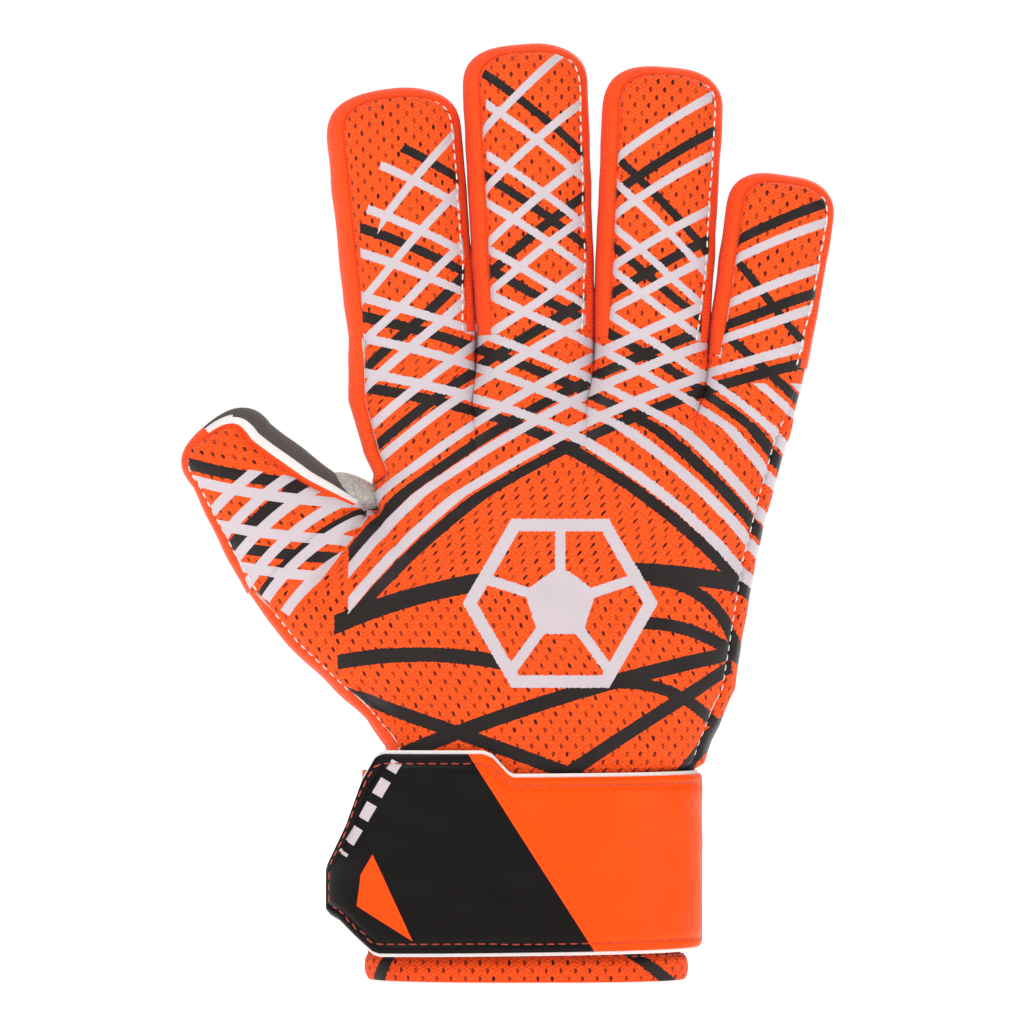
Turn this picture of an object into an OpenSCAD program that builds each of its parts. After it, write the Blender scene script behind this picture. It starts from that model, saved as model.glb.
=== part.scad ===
// Right-hand goalkeeper glove, worn upright: +Z runs to the fingertips, the back of the hand faces -Y,
// the palm faces +Y, the thumb is on the -X side. The origin is the centre of the wrist opening.

/* [Padding] */
// Thickness of the padded back and palm panels
wall = 2.8; // [2.2:0.1:3.2]
// Thickness of the knitted lining
lining = 0.7; // [0.5:0.1:0.9]
// Gap between a panel and its lining
lining_gap = 0.35; // [0.2:0.05:0.5]
// Fraction of a digit's half-width at which its side strips are sewn on
seam = 0.84; // [0.8:0.01:0.88]

/* [Cuff] */
// Height of the cuff from its hem to the wrist crease
cuff_h = 60; // [56:1:60]
// Half-depth of the wrist at the cuff
cuff_depth = 22.5; // [20:0.5:23]
// Width of the entry slit at the hem
slit_w = 6; // [4:1:8]

/* [Strap] */
// Thickness of the strap, cover and foam together
strap_t = 3.4; // [3:0.1:3.6]
// Lower edge of the strap
strap_low = 8.6; // [8:0.2:12]
// Upper edge of the strap at the little-finger side
strap_top = 60; // [56:1:61]

/* [Fingers] */
// Half-depth of the three long fingers and the thumb
finger_depth = 12.5; // [11.5:0.1:12.5]
// Half-depth of the little finger
little_depth = 11.5; // [10.5:0.1:11.5]

/* [Hidden] */
// Each digit: base x, base z, lean, length, half-width at base and tip, half-depth, knuckle and middle joint
index_digit = [-30.2, 185.5, -5.2, 71.5, 18.2, 17.8, finger_depth, 12, 40];
middle_digit = [5.4, 186.5, -2.4, 83.3, 16.8, 16.2, finger_depth, 12, 44];
ring_digit = [38.8, 184.5, 2.9, 78.8, 16.4, 15.7, finger_depth, 12, 42];
little_digit = [69.5, 178.5, 8.9, 54, 14.4, 14, little_depth, 11, 33];
thumb_digit = [-60, 126, -38.3, 44.8, 22.6, 14.5, finger_depth, 9, 25];
fingers = [index_digit, middle_digit, ring_digit, little_digit];

// Named places in a digit's list
BX = 0; BZ = 1; LEAN = 2; LEN = 3; A0 = 4; A1 = 5; DEPTH = 6; MID = 8;

joint_y = 4;          // how far the finger hinges sit from the middle plane, towards the palm
base_gap = 0.4;       // gap between the hand and a digit at rest
round_n = 2.6;        // squareness of every cross-section
tip_m = 2.7;          // squareness of a fingertip seen from the back
edge_in = 3.6;        // how far the hand panels stop short of the outline, for the side strips
back = -1;
palm = 1;
orange = "orangered";
coal = "#26231f";
eps = 0.01;

// ---- shared curves ----
function clamp01(t) = min(1, max(0, t));
function ease(t) = let (s = clamp01(t)) s * s * (3 - 2 * s);
function mix(a, b, t) = a + (b - a) * t;
function spow(v, e) = sign(v) * pow(abs(v), e);
function rim(r) = pow(max(0, 1 - pow(abs(r), round_n)), 1 / round_n);

// ---- a closed shell between two point grids of (nu + 1) by (nv + 1) points ----
module shell(outer, inner, nu, nv, flip = false) {
    m = nv + 1;
    off = (nu + 1) * m;
    tri = function (a, b, c, d) [[a, b, c], [a, c, d]];
    quads = [
        for (i = [0:nu - 1], j = [0:nv - 1])
            each tri(i * m + j, i * m + j + 1, (i + 1) * m + j + 1, (i + 1) * m + j),
        for (i = [0:nu - 1], j = [0:nv - 1])
            each tri(off + i * m + j, off + (i + 1) * m + j, off + (i + 1) * m + j + 1, off + i * m + j + 1),
        for (i = [0:nu - 1]) each tri(i * m, (i + 1) * m, off + (i + 1) * m, off + i * m),
        for (i = [0:nu - 1])
            each tri((i + 1) * m + nv, i * m + nv, off + i * m + nv, off + (i + 1) * m + nv),
        for (j = [0:nv - 1]) each tri(j + 1, j, off + j, off + j + 1),
        for (j = [0:nv - 1])
            each tri(nu * m + j, nu * m + j + 1, off + nu * m + j + 1, off + nu * m + j)
    ];
    faces = flip ? [for (f = quads) [f[0], f[2], f[1]]] : quads;
    polyhedron(points = concat(outer, inner), faces = faces);
}

// ---- a surface grid thickened along its own normals, from distance d0 to d1 outside it ----
module skin(grid, nu, nv, d0, d1, flip = false) {
    m = nv + 1;
    at = function (i, j) grid[max(0, min(nu, i)) * m + max(0, min(nv, j))];
    way = flip ? 1 : -1;
    normal = function (i, j)
        let (n = cross(at(i, j + 1) - at(i, j - 1), at(i + 1, j) - at(i - 1, j))) -way * n / norm(n);
    moved = function (d) [for (i = [0:nu], j = [0:nv]) at(i, j) - normal(i, j) * d];
    shell(moved(d0), moved(d1), nu, nv, flip);
}

// ---- digits: r is the place across (-1 to 1), p the height above the base ----
function cap_len(d, inset) = 0.8 * d[A1] - inset;
function cap_from(d) = d[LEN] - 0.8 * d[A1];
function half_w(d, p, inset) = mix(d[A0], d[A1], clamp01(p / cap_from(d))) - inset;
function rho(d, r, p, inset) =
    pow(pow(abs(r), tip_m) + pow(max(0, p - cap_from(d)) / cap_len(d, inset), tip_m), 1 / tip_m);
function place(d, q, p, y) =
    [d[BX] + p * sin(d[LEAN]) + q * cos(d[LEAN]), y, d[BZ] + p * cos(d[LEAN]) - q * sin(d[LEAN])];
function point(d, rp, y, inset) = place(d, rp[0] * half_w(d, rp[1], inset), rp[1], y);
function crown(d, side, rp, inset) = side * (d[DEPTH] - inset) * rim(rho(d, rp[0], rp[1], inset));

// The two halves of a digit meet on a cylinder about the middle joint
function joint_r(d) = d[DEPTH] + joint_y + 0.7;
function cut(d, y, gap) = d[MID] - sqrt(max(0, pow(joint_r(d) + gap, 2) - pow(y - joint_y, 2)));

// Outline of a digit at a level: angle 0 is the left flank, 90 the tip, 180 the right flank
function tip_curve(d, level, angle, inset) =
    [-level * spow(cos(angle), 2 / tip_m),
     cap_from(d) + level * cap_len(d, inset) * spow(sin(angle), 2 / tip_m)];
flank = 0.62;         // share of a flank's grid lines below the fingertip's curve
function left_edge(d, level, low, v, inset) =
    v < flank ? [-level, mix(low, cap_from(d), v / flank)]
              : tip_curve(d, level, 45 * (v - flank) / (1 - flank), inset);
function mirror_r(rp) = [-rp[0], rp[1]];

function flat_y(d, side, r, inset) = side * (d[DEPTH] - inset) * rim(r);
function lower_rp(d, side, level, u, v, inset) =
    let (r = level * (2 * u - 1)) [r, mix(base_gap, cut(d, flat_y(d, side, r, inset), base_gap), v)];
function low_rp(d, side, level, u, inset) =
    let (r = level * (2 * u - 1)) [r, cut(d, flat_y(d, side, r, inset), 0)];
function upper_rp(d, side, level, u, v, inset) =
    let (
        low = cut(d, flat_y(d, side, level, inset), 0),
        bottom = low_rp(d, side, level, u, inset),
        top = tip_curve(d, level, mix(45, 135, u), inset),
        left = left_edge(d, level, low, v, inset),
        right = mirror_r(left),
        corner = [level, low],
        top_left = tip_curve(d, level, 45, inset)
    )
    (1 - v) * bottom + v * top + (1 - u) * left + u * right
    - (1 - v) * mix(mirror_r(corner), corner, u) - v * mix(top_left, mirror_r(top_left), u);

module digit_panel(d, side, upper, level, in0, in1, nu = 6, nv = 5) {
    grid = function (inset) [
        for (i = [0:nu], j = [0:nv])
            let (rp = upper ? upper_rp(d, side, level, i / nu, j / nv, inset)
                            : lower_rp(d, side, level, i / nu, j / nv, inset))
            point(d, rp, crown(d, side, rp, inset), inset)
    ];
    shell(grid(in0), grid(in1), nu, nv, side == palm);
}

// Side strips: k runs from the back seam (-1) over the flank (0) to the palm seam (1)
strip_end = 0.97;     // the strips stop just short of the seams
function strip_level(k) = 1 - (1 - seam) * pow(abs(k), 3);
function strip_y(d, k, inset) = (d[DEPTH] - inset) * rim(seam) * k;

module digit_sides_lower(d, nk = 4, nv = 3) {
    grid = function (inset, hand) [
        for (j = [0:nv], i = [0:nk])
            let (
                k = strip_end * (2 * i / nk - 1),
                y = strip_y(d, k, inset),
                rp = [hand * strip_level(k), mix(base_gap, cut(d, y, base_gap), j / nv)]
            )
            point(d, rp, y, inset)
    ];
    for (hand = [-1, 1]) shell(grid(0, hand), grid(wall, hand), nv, nk, hand == 1);
}

module digit_sides_upper(d, nk = 4, ns = 14) {
    grid = function (inset) [
        for (s = [0:ns], i = [0:nk])
            let (
                k = strip_end * (2 * i / nk - 1),
                y = strip_y(d, k, inset),
                low = cut(d, y, 0),
                level = strip_level(k),
                t = s / ns,
                rp = t < 0.2 ? [-level, mix(low, cap_from(d), t / 0.2)]
                   : t > 0.8 ? [level, mix(low, cap_from(d), (1 - t) / 0.2)]
                   : tip_curve(d, level, 180 * (t - 0.2) / 0.6, inset)
            )
            point(d, rp, y, inset)
    ];
    shell(grid(0), grid(wall), ns, nk, false);
}

module digit_lining(d, upper) {
    for (side = [back, palm])
        digit_panel(d, side, upper, 0.88, wall + lining_gap, wall + lining_gap + lining, nu = 5, nv = 3);
}

// ---- the hand: outlines by height, in millimetres ----
function body_left(z) = lookup(z, [[0, -43.5], [60, -45], [100, -44], [140, -41.5], [146, -40], [167, -46.5],
                                   [186, -48.6]]);
function body_right(z) = lookup(z, [[0, 44.5], [60, 48.5], [69, 54], [84, 62.8], [104, 65.7], [121, 68.6],
                                    [138, 72.9], [158, 78.7], [176, 82.5]]);
function outline_left(z) = lookup(z, [[60, -45], [67, -45.5], [81, -52.5], [97, -66.2], [112, -77.5],
                                      [140, -42], [146, -40], [167, -46.5], [186, -48.6]]);
// Left edge of the hand panels: short of the outline, and along the thumb's mouth from 112 to 140
function panel_left(z) = lookup(z, [[60, -41.4], [67, -41.9], [81, -48.9], [97, -62.6], [112, -73.5],
                                    [126, -59.6], [140, -41.2], [146, -36.4], [167, -42.9], [186, -45.3]]);
function back_depth(z) = lookup(z, [[0, cuff_depth], [67, 23], [100, 21.5], [150, 18], [186, 14]]);
function palm_depth(z) = lookup(z, [[0, cuff_depth], [67, 23], [100, 23.5], [150, 18], [186, 14]]);
function depth(side, z) = side == back ? back_depth(z) : palm_depth(z);

// The hand's body and the thumb's root, joined by a smooth maximum
function body_h(side, x, z) =
    let (c = (body_left(z) + body_right(z)) / 2, a = (body_right(z) - body_left(z)) / 2)
    depth(side, z) * rim(min(1, abs(x - c) / a));
function root_h(x, z) =
    let (
        dx = x - thumb_digit[BX],
        dz = z - thumb_digit[BZ],
        p = dx * sin(thumb_digit[LEAN]) + dz * cos(thumb_digit[LEAN]),
        q = dx * cos(thumb_digit[LEAN]) - dz * sin(thumb_digit[LEAN])
    )
    (finger_depth + 3 * ease(-p / 30)) * rim(min(1, abs(q) / thumb_digit[A0])) * ease((p + 70) / 35);
function hand_h(side, x, z) = pow(pow(body_h(side, x, z), 4) + pow(root_h(x, z), 4), 1 / 4);

// Columns follow the four fingers at the top and spread evenly at the wrist
spread = [-0.97, -0.8, -0.42, 0, 0.42, 0.8, 0.97];
columns = [
    for (f = [0:3], k = [0:6])
        [f, f == 0 && k == 0 ? -seam : f == 3 && k == 6 ? seam : spread[k]]
];
nc = len(columns) - 1;
function top_point(c) = let (d = fingers[columns[c][0]]) place(d, columns[c][1] * d[A0], 0, 0);
function top_h(c) = fingers[columns[c][0]][DEPTH] * rim(columns[c][1]);
first_x = top_point(0)[0];
last_x = top_point(nc)[0];
rows = [60, 67, 81, 97, 112, 126, 140, 146, 155, 167];
nr = len(rows);
function share(c, z) =
    let (
        top = (top_point(c)[0] - first_x) / (last_x - first_x),
        low = (1 + sin(75 * (2 * c / nc - 1)) / sin(75)) / 2
    )
    mix(low, top, ease((z - 60) / 115));
function hand_point(side, c, r, drop, shift) =
    let (
        z = r == nr ? top_point(c)[2] - drop : rows[r],
        mouth = shift * ease((z - 104) / 8) * ease((150 - z) / 8),
        left = r == nr ? first_x : panel_left(z) + mouth,
        right = r == nr ? last_x : body_right(z) - edge_in,
        x = mix(left, right, r == nr ? (top_point(c)[0] - first_x) / (last_x - first_x) : share(c, z)),
        h = mix(hand_h(side, x, z), top_h(c), ease((z - 148) / (top_point(c)[2] - 148)))
    )
    [x, side * h, z];
function hand_grid(side, drop = 0, shift = 0) =
    [for (c = [0:nc], r = [0:nr]) hand_point(side, c, r, drop, shift)];

module hand_panel(side, drop, shift, d0, d1) {
    skin(hand_grid(side, drop, shift), nc, nr, d0, d1, side == palm);
}

// A strip along the hand's edge: rounded from the back panel's edge to the palm panel's edge
function edge_h(side, x, z, end_h) = mix(hand_h(side, x, z), end_h, ease((z - 148) / 36));
edge_end = 0.88;      // the hand's edge strips stop a little further from the seams
module hand_edge(zs, outline, way, end_h, nk = 6) {
    n = len(zs) - 1;
    grid = function (inset) [
        for (j = [0:n], i = [0:nk])
            let (
                z = zs[j],
                k = edge_end * (2 * i / nk - 1),
                x_edge = outline(z) - way * edge_in,
                h = edge_h(k < 0 ? back : palm, x_edge, z, end_h) - 0.75 * inset
            )
            [mix(outline(z), x_edge, pow(abs(k), 3)) - way * inset, h * k, z]
    ];
    shell(grid(0), grid(wall), n, nk, way > 0);
}

// ---- the cuff: a tube from the hem to the wrist crease, split at the two sides ----
function cuff_point(side, a, z) =
    let (c = (body_left(z) + body_right(z)) / 2, w = (body_right(z) - body_left(z)) / 2)
    [c - w * spow(cos(a), 2 / round_n), side * depth(side, z) * spow(sin(a), 2 / round_n), z];
module cuff_panel(side, a0, a1, z0, z1, d0, d1, n = 14, nz = 2) {
    grid = [for (i = [0:n], j = [0:nz]) cuff_point(side, mix(a0, a1, i / n), mix(z0, z1, j / nz))];
    skin(grid, n, nz, d0, d1, side == palm);
}

// ---- the strap: a band round the back of the wrist, and its outline seen from the back ----
strap_c = 1.6;        // middle of the strap across the wrist
strap_a_in = 47.8;    // half-width inside, little-finger side
strap_b_in = 53.4;    // half-width inside, free end
strap_d_in = 25.4;    // half-depth inside
cover_t = 1.2;        // thickness of the coated cover on the foam
tip_hinge_x = strap_c;
function band_point(a, off) =
    let (w = (a < 90 ? strap_a_in : strap_b_in) + off)
    [strap_c + w * spow(cos(a), 2 / round_n), -(strap_d_in + off) * spow(sin(a), 2 / round_n)];
module band(a0, a1, off0, off1, low, top, n = 14) {
    pts = concat([for (i = [0:n]) band_point(mix(a0, a1, i / n), off1)],
                 [for (i = [n:-1:0]) band_point(mix(a0, a1, i / n), off0)]);
    translate([0, 0, low]) linear_extrude(height = top - low) polygon(pts);
}
module tip_outline() {
    reach = 60;
    rotate([90, 0, 0]) linear_extrude(height = 2 * reach, center = true)
        polygon([[tip_hinge_x + 1, strap_low], [tip_hinge_x + 1, strap_top], [-2, strap_top],
                 [-8.6, strap_top + 6.5], [-40, strap_top + 6.3], [-48.6, 49], [-58, 30], [-58, 20],
                 [-42.4, strap_low - 1]]);
}
module strap_layer(off0, off1) {
    band(1.5, 89.8, off0, off1, strap_low, strap_top);
}
module strap_tip_layer(off0, off1) {
    intersection() {
        band(90.2, 168, off0, off1, strap_low - 1, strap_top + 6.5, 18);
        tip_outline();
    }
}

// ---- pieces of the hand ----
module hand_back() { color(orange) hand_panel(back, 0, 0, 0, -wall); }
module hand_palm() { color(coal) hand_panel(palm, 1.6, 2.5, 0, -wall); }
module hand_side_outer() {
    color(orange) hand_edge([60, 69, 84, 104, 121, 138, 158, 168, 174], function (z) body_right(z), 1,
                            little_depth * rim(seam));
}
module hand_side_inner() {
    color(orange) {
        hand_edge([60, 67, 81, 97, 109], function (z) outline_left(z), -1, finger_depth * rim(seam));
        hand_edge([146.5, 150, 155, 161, 167, 175, 182], function (z) outline_left(z), -1, finger_depth * rim(seam));
    }
}
module hand_lining() {
    color("gainsboro") {
        hand_panel(back, 1, 1, -wall - lining_gap, -wall - lining_gap - lining);
        hand_panel(palm, 2.6, 3.5, -wall - lining_gap, -wall - lining_gap - lining);
    }
}

// ---- pieces of the cuff ----
module cuff_back() { color(orange) cuff_panel(back, 2, 178, 0, cuff_h - 0.1, 0, -wall); }
slit_a = 62;          // angle of the entry slit on the palm side
slit_top = 44;
module cuff_palm() {
    half = asin(slit_w / 2 / 44);
    color(coal) difference() {
        cuff_panel(palm, 2, 178, 0, cuff_h - 0.1, 0, -wall);
        slit_x = cuff_point(palm, slit_a, 0)[0];
        rotate([90, 0, 0]) linear_extrude(height = 120, center = true)
            polygon([[slit_x - slit_w / 2, -1], [slit_x + slit_w / 2, -1], [slit_x, slit_top]]);
    }
}
module cuff_slit_insert() {
    color("dimgray") cuff_panel(palm, slit_a - 14, slit_a + 14, 1, slit_top + 4, -wall - 0.4,
                                -wall - 0.4 - lining, 4, 1);
}
module cuff_binding() {
    color(orange) cuff_panel(back, 3, 177, 0, 6, 1.3, 0.45, 14, 1);
    color(coal) for (part = [[3, slit_a - 6], [slit_a + 6, 177]])
        cuff_panel(palm, part[0], part[1], 0, 6, 1.3, 0.45, 8, 1);
}
module wrist_elastic() { color("black") cuff_panel(palm, 30, 140, 47, 58, 1.3, 0.05, 12, 1); }
module loop_patch() { color("black") cuff_panel(back, 38, 84, 12, 56, 1, 0.05, 6, 1); }
module size_label() { color("white") cuff_panel(back, 80, 100, 22, 40, -wall - 0.9, -wall - 1.3, 3, 1); }
module strap_anchor() {
    color(orange) mirror([0, 1, 0]) intersection() {
        band(2, 44, -0.4, strap_t - 0.6, strap_low + 1, strap_top - 2, 8);
        translate([0, -100, 0]) cube([200, 200, 200]);
    }
}

// ---- pieces of the strap ----
module strap_foam() { color("white") strap_layer(0, strap_t - cover_t - eps); }
module strap_cover() { color(orange) strap_layer(strap_t - cover_t, strap_t); }
module strap_tip_foam() { color("white") strap_tip_layer(0, strap_t - cover_t - eps); }
module strap_tip_cover() { color(coal) strap_tip_layer(strap_t - cover_t, strap_t); }
module hook_patch() { color("gray") band(104, 142, -1, -0.05, 14, 54, 6); }

// ---- pieces of a digit ----
module digit_piece(d, prefix) {
    color(orange) digit_panel(d, back, false, seam, 0, wall);
    color(coal) digit_panel(d, palm, false, seam, 0, wall);
    color("darkorange") digit_sides_lower(d);
    color("gainsboro") digit_lining(d, false);
    color(orange) digit_panel(d, back, true, seam, 0, wall);
    color(coal) digit_panel(d, palm, true, seam, 0, wall);
    color("darkorange") digit_sides_upper(d);
    color("gainsboro") digit_lining(d, true);
}

hand_back();
hand_palm();
hand_side_outer();
hand_side_inner();
hand_lining();
cuff_back();
cuff_palm();
cuff_slit_insert();
cuff_binding();
wrist_elastic();
loop_patch();
size_label();
strap_anchor();
strap_cover();
strap_foam();
strap_tip_cover();
strap_tip_foam();
hook_patch();
digit_piece(index_digit, "index");
digit_piece(middle_digit, "middle");
digit_piece(ring_digit, "ring");
digit_piece(little_digit, "little");
digit_piece(thumb_digit, "thumb");
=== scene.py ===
"""Goalkeeper glove for the right hand, worn upright: fabric, foam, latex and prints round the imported
frame.
"""
import math

import bpy
import numpy as np
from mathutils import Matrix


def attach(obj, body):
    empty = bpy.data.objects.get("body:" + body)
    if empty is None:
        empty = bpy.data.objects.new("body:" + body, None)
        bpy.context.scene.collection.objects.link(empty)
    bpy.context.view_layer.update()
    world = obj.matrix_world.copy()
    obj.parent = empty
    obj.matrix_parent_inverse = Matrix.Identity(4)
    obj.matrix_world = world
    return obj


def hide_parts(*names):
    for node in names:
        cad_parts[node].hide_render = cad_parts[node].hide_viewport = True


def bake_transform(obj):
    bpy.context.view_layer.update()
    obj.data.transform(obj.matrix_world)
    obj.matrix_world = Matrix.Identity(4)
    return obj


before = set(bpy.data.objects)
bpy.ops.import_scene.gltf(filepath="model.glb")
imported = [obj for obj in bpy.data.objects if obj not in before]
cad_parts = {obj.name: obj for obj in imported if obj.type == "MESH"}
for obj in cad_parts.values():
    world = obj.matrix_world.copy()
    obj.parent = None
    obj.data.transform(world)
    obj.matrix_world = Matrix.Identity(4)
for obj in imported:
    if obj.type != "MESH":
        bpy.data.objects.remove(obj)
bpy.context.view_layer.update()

bl_info = {
    "name": "Goalkeeper glove",
    "version": (1, 0, 0),
    "blender": (4, 5, 0),
    "location": "3D View > Sidebar > Glove",
    "description": "Builds a padded goalkeeper glove with a printed mesh back and a wrist strap",
    "category": "Object",
}

MM = 0.001


def colour(code, alpha=1.0):
    """sRGB hex code to linear RGBA: (c/12.92) below 0.04045, else ((c + 0.055)/1.055)^2.4."""
    parts = [int(code[i:i + 2], 16) / 255 for i in (1, 3, 5)]
    return tuple(c / 12.92 if c < 0.04045 else ((c + 0.055) / 1.055) ** 2.4 for c in parts) + (alpha,)


# ---------------------------------------------------------------- what a user may change

def length(name, description, default):
    """A size in millimetres, kept in metres."""
    return bpy.props.FloatProperty(name=name, description=description, default=default * MM,
                                   unit="LENGTH", precision=5)


def tint(name, description, code):
    """A colour from its sRGB hex code."""
    return bpy.props.FloatVectorProperty(name=name, description=description, default=colour(code)[:3],
                                         subtype="COLOR", min=0, max=1)


class GloveSizes(bpy.types.PropertyGroup):
    panel: length("Panel thickness", "Foam and mesh of a panel together", 2.6)
    groove: length("Seam depth", "How far a seam draws the fabric in", 1.1)
    puff: length("Foam crown", "How far the foam stands up between seams", 0.7)
    bulge: length("Gusset bulge", "How far a side strip stands out between its seams", 0.7)
    wrinkle: length("Wrinkle height", "Height of the soft waves in the panels", 0.3)
    hole_step: length("Hole spacing", "Spacing of the mesh's holes across a panel", 4.2)
    hole_rise: length("Hole rows", "Height between rows of holes", 2.3)
    stripe: length("Light stripe", "Width of the light printed stripes", 3.0)
    dark_stripe: length("Dark stripe", "Width of the dark printed stripes", 3.3)
    stitch: length("Stitch length", "Length of one stitch", 1.9)
    stitch_step: length("Stitch spacing", "Distance from one stitch to the next", 2.9)


class GloveColours(bpy.types.PropertyGroup):
    mesh: tint("Mesh", "Airmesh of the back", "#F85012")
    gusset: tint("Gusset", "Side strips of the digits", "#F0480F")
    light: tint("Light print", "Rubber print, light", "#BBB0B5")
    dark: tint("Dark print", "Rubber print, dark", "#1C1413")
    latex: tint("Latex", "Palm foam", "#4A4442")
    strap: tint("Strap", "Coated cover, bright part", "#FF4A02")
    strap_dark: tint("Dark strap", "Coated cover, dark part", "#0A0606")
    foam: tint("Foam", "Cut edge of the strap's foam", "#E9E4E1")
    knit: tint("Cuff knit", "Knitted palm side of the cuff", "#2A2626")
    lining: tint("Lining", "Towelling inside the glove", "#B9B4AE")


# ---------------------------------------------------------------- curves shared with the frame

ROUND = 2.6         # squareness of every cross-section
TIP = 2.7           # squareness of a fingertip seen from the back
PALM_SEAM = 0.84    # where the palm's panels end, as a share of the half-width
BACK, PALM = -1, 1


def ease(t):
    """Smooth step 3t^2 - 2t^3 for t from 0 to 1."""
    t = np.clip(t, 0, 1)
    return t * t * (3 - 2 * t)


def mix(a, b, t):
    """a + (b - a) t."""
    return a + (b - a) * t


def spow(v, e):
    """Signed power: sign(v) |v|^e."""
    return np.sign(v) * np.abs(v) ** e


def rim(r):
    """Height of a superellipse at r: (1 - |r|^n)^(1/n)."""
    return (1 - np.minimum(1, np.abs(r)) ** ROUND) ** (1 / ROUND)


def bell(distance, width):
    """exp(-(distance/width)^2)."""
    return np.exp(-(distance / width) ** 2)


class Digit:
    """A finger or the thumb. p is the height above its base, q the distance across, r is q over the
    half-width.
    """

    def __init__(self, name, x, z, lean, reach, base, tip, wide, depth, knuckle, middle, split, seams):
        self.name, self.x, self.z, self.lean = name, x, z, math.radians(lean)
        self.reach, self.base, self.wide, self.depth = reach, base, wide, depth
        self.knuckle, self.middle, self.split, self.seams = knuckle, middle, split, seams
        self.cap = 0.8 * tip
        self.cap_from = reach - self.cap

    def half_width(self, p):
        """Half-width at p: a straight taper from the base to the fingertip's curve."""
        return mix(self.base, self.wide, np.clip(p / self.cap_from, 0, 1))

    def place(self, q, p, y):
        """Point at (q, p, y): the digit's own axes turned by its lean and moved to its base."""
        s, c = math.sin(self.lean), math.cos(self.lean)
        return np.stack(np.broadcast_arrays(self.x + p * s + q * c, y, self.z + p * c - q * s), axis=-1)

    def level(self, r, p):
        """Distance from the middle as a share: (|r|^m + (height into the cap)^m)^(1/m)."""
        return (np.abs(r) ** TIP + (np.maximum(0, p - self.cap_from) / self.cap) ** TIP) ** (1 / TIP)

    def skin(self, side, r, p):
        """Point on the digit's skin at (r, p): y = side * depth * rim(level)."""
        return self.place(r * self.half_width(p), p, side * self.depth * rim(self.level(r, p)))

    def arch(self, share, angle):
        """(r, p) round the fingertip at a share of its outline: angle 0 left flank, 90 tip, 180 right
        flank.
        """
        a = np.radians(angle)
        return (-share * spow(np.cos(a), 2 / TIP),
                self.cap_from + share * self.cap * np.abs(np.sin(a)) ** (2 / TIP))

    def seam(self, side, angle, p):
        """Share of the outline at which a panel is sewn on; p counts only on the flanks, below the cap."""
        if side == PALM:
            return PALM_SEAM + 0 * (angle + p)
        angles, levels, heights, right = self.seams
        round_tip = np.interp(angle, angles, levels)
        on_right = np.interp(p, heights, right)
        return np.where((angle >= 180) & (p < self.cap_from), on_right, round_tip)


FINGER_SEAMS = ([0, 70, 120, 180], [0.78, 0.87, 0.91, 0.96], [0, 20], [0.88, 0.96])
THUMB_SEAMS = ([0, 65, 110, 160, 180], [0.93, 0.93, 0.72, 0.5, 0.46], [0, 6, 15, 33],
               [0.84, 0.76, 0.62, 0.46])
DIGITS = [
    Digit("index", -30.2, 185.5, -5.2, 71.5, 18.2, 17.8, 18.9, 12.5, 12, 40, 26, FINGER_SEAMS),
    Digit("middle", 5.4, 186.5, -2.4, 83.3, 16.8, 16.2, 17.5, 12.5, 12, 44, 28, FINGER_SEAMS),
    Digit("ring", 38.8, 184.5, 2.9, 78.8, 16.4, 15.7, 16.8, 12.5, 12, 42, 27, FINGER_SEAMS),
    Digit("little", 69.5, 178.5, 8.9, 54, 14.4, 14.0, 15.0, 11.5, 11, 33, 22, FINGER_SEAMS),
    Digit("thumb", -61.2, 125.0, -39.3, 44.8, 21.9, 13.9, 13.9, 12.5, 9, 25, 17, THUMB_SEAMS),
]
FINGERS, THUMB = DIGITS[:4], DIGITS[4]


def lookup(z, heights, values):
    """Straight lines through (height, value)."""
    return np.interp(z, heights, values)


def body_left(z):
    return lookup(z, [0, 60, 100, 140, 146, 167, 186], [-43.5, -45, -44, -41.5, -40, -46.5, -48.6])


def body_right(z):
    return lookup(z, [0, 7.2, 9.6, 59.5, 62.5, 69, 84, 104, 121, 138, 158, 168, 176],
                  [49.0, 49.0, 45, 48.5, 53.8, 56, 62.6, 65.7, 68.6, 72.9, 78.5, 80.9, 83.2])


def outline_left(z):
    return lookup(z, [60, 67, 75, 81, 97, 112, 140, 146, 152, 167, 186],
                  [-37, -37.5, -43, -49.6, -66.2, -78.1, -42, -41, -43.8, -48.2, -48.5])


def panel_left(z):
    """Left edge of the hand's panels: short of the outline, and along the thumb's base from 112 to 140."""
    return lookup(z, [60, 67, 75, 81, 97, 112, 126, 140, 146, 152, 167, 186],
                  [-34, -34.5, -40.5, -47, -63.8, -76, -60.6, -43.2, -38, -40.5, -44.6, -45.0])


def depth(side, z):
    middle = 21.5 if side == BACK else 23.5
    return lookup(z, [0, 67, 100, 150, 186], [22.5, 23, middle, 18, 14])


def hand_height(side, x, z):
    """The hand's body and the thumb's root joined: (body^4 + root^4)^(1/4), each a superellipse across."""
    left, right = body_left(z), body_right(z)
    body = depth(side, z) * rim((x - (left + right) / 2) / ((right - left) / 2))
    dx, dz = x - THUMB.x, z - THUMB.z
    s, c = math.sin(THUMB.lean), math.cos(THUMB.lean)
    p, q = dx * s + dz * c, dx * c - dz * s
    root = (12.5 + 3 * ease(-p / 30)) * rim(q / THUMB.base) * ease((p + 70) / 35)
    return (body ** 4 + root ** 4) ** 0.25


# ---------------------------------------------------------------- surfaces to meshes

def normals(grid, core):
    """Unit normals of a grid, d/di x d/dj, turned to point away from the core points; also the turn's
    sign.
    """
    n = np.cross(np.gradient(grid, axis=0), np.gradient(grid, axis=1))
    n /= np.maximum(np.linalg.norm(n, axis=-1, keepdims=True), 1e-9)
    way = 1.0 if (n * (grid - core)).sum() > 0 else -1.0
    return n * way, way


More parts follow.
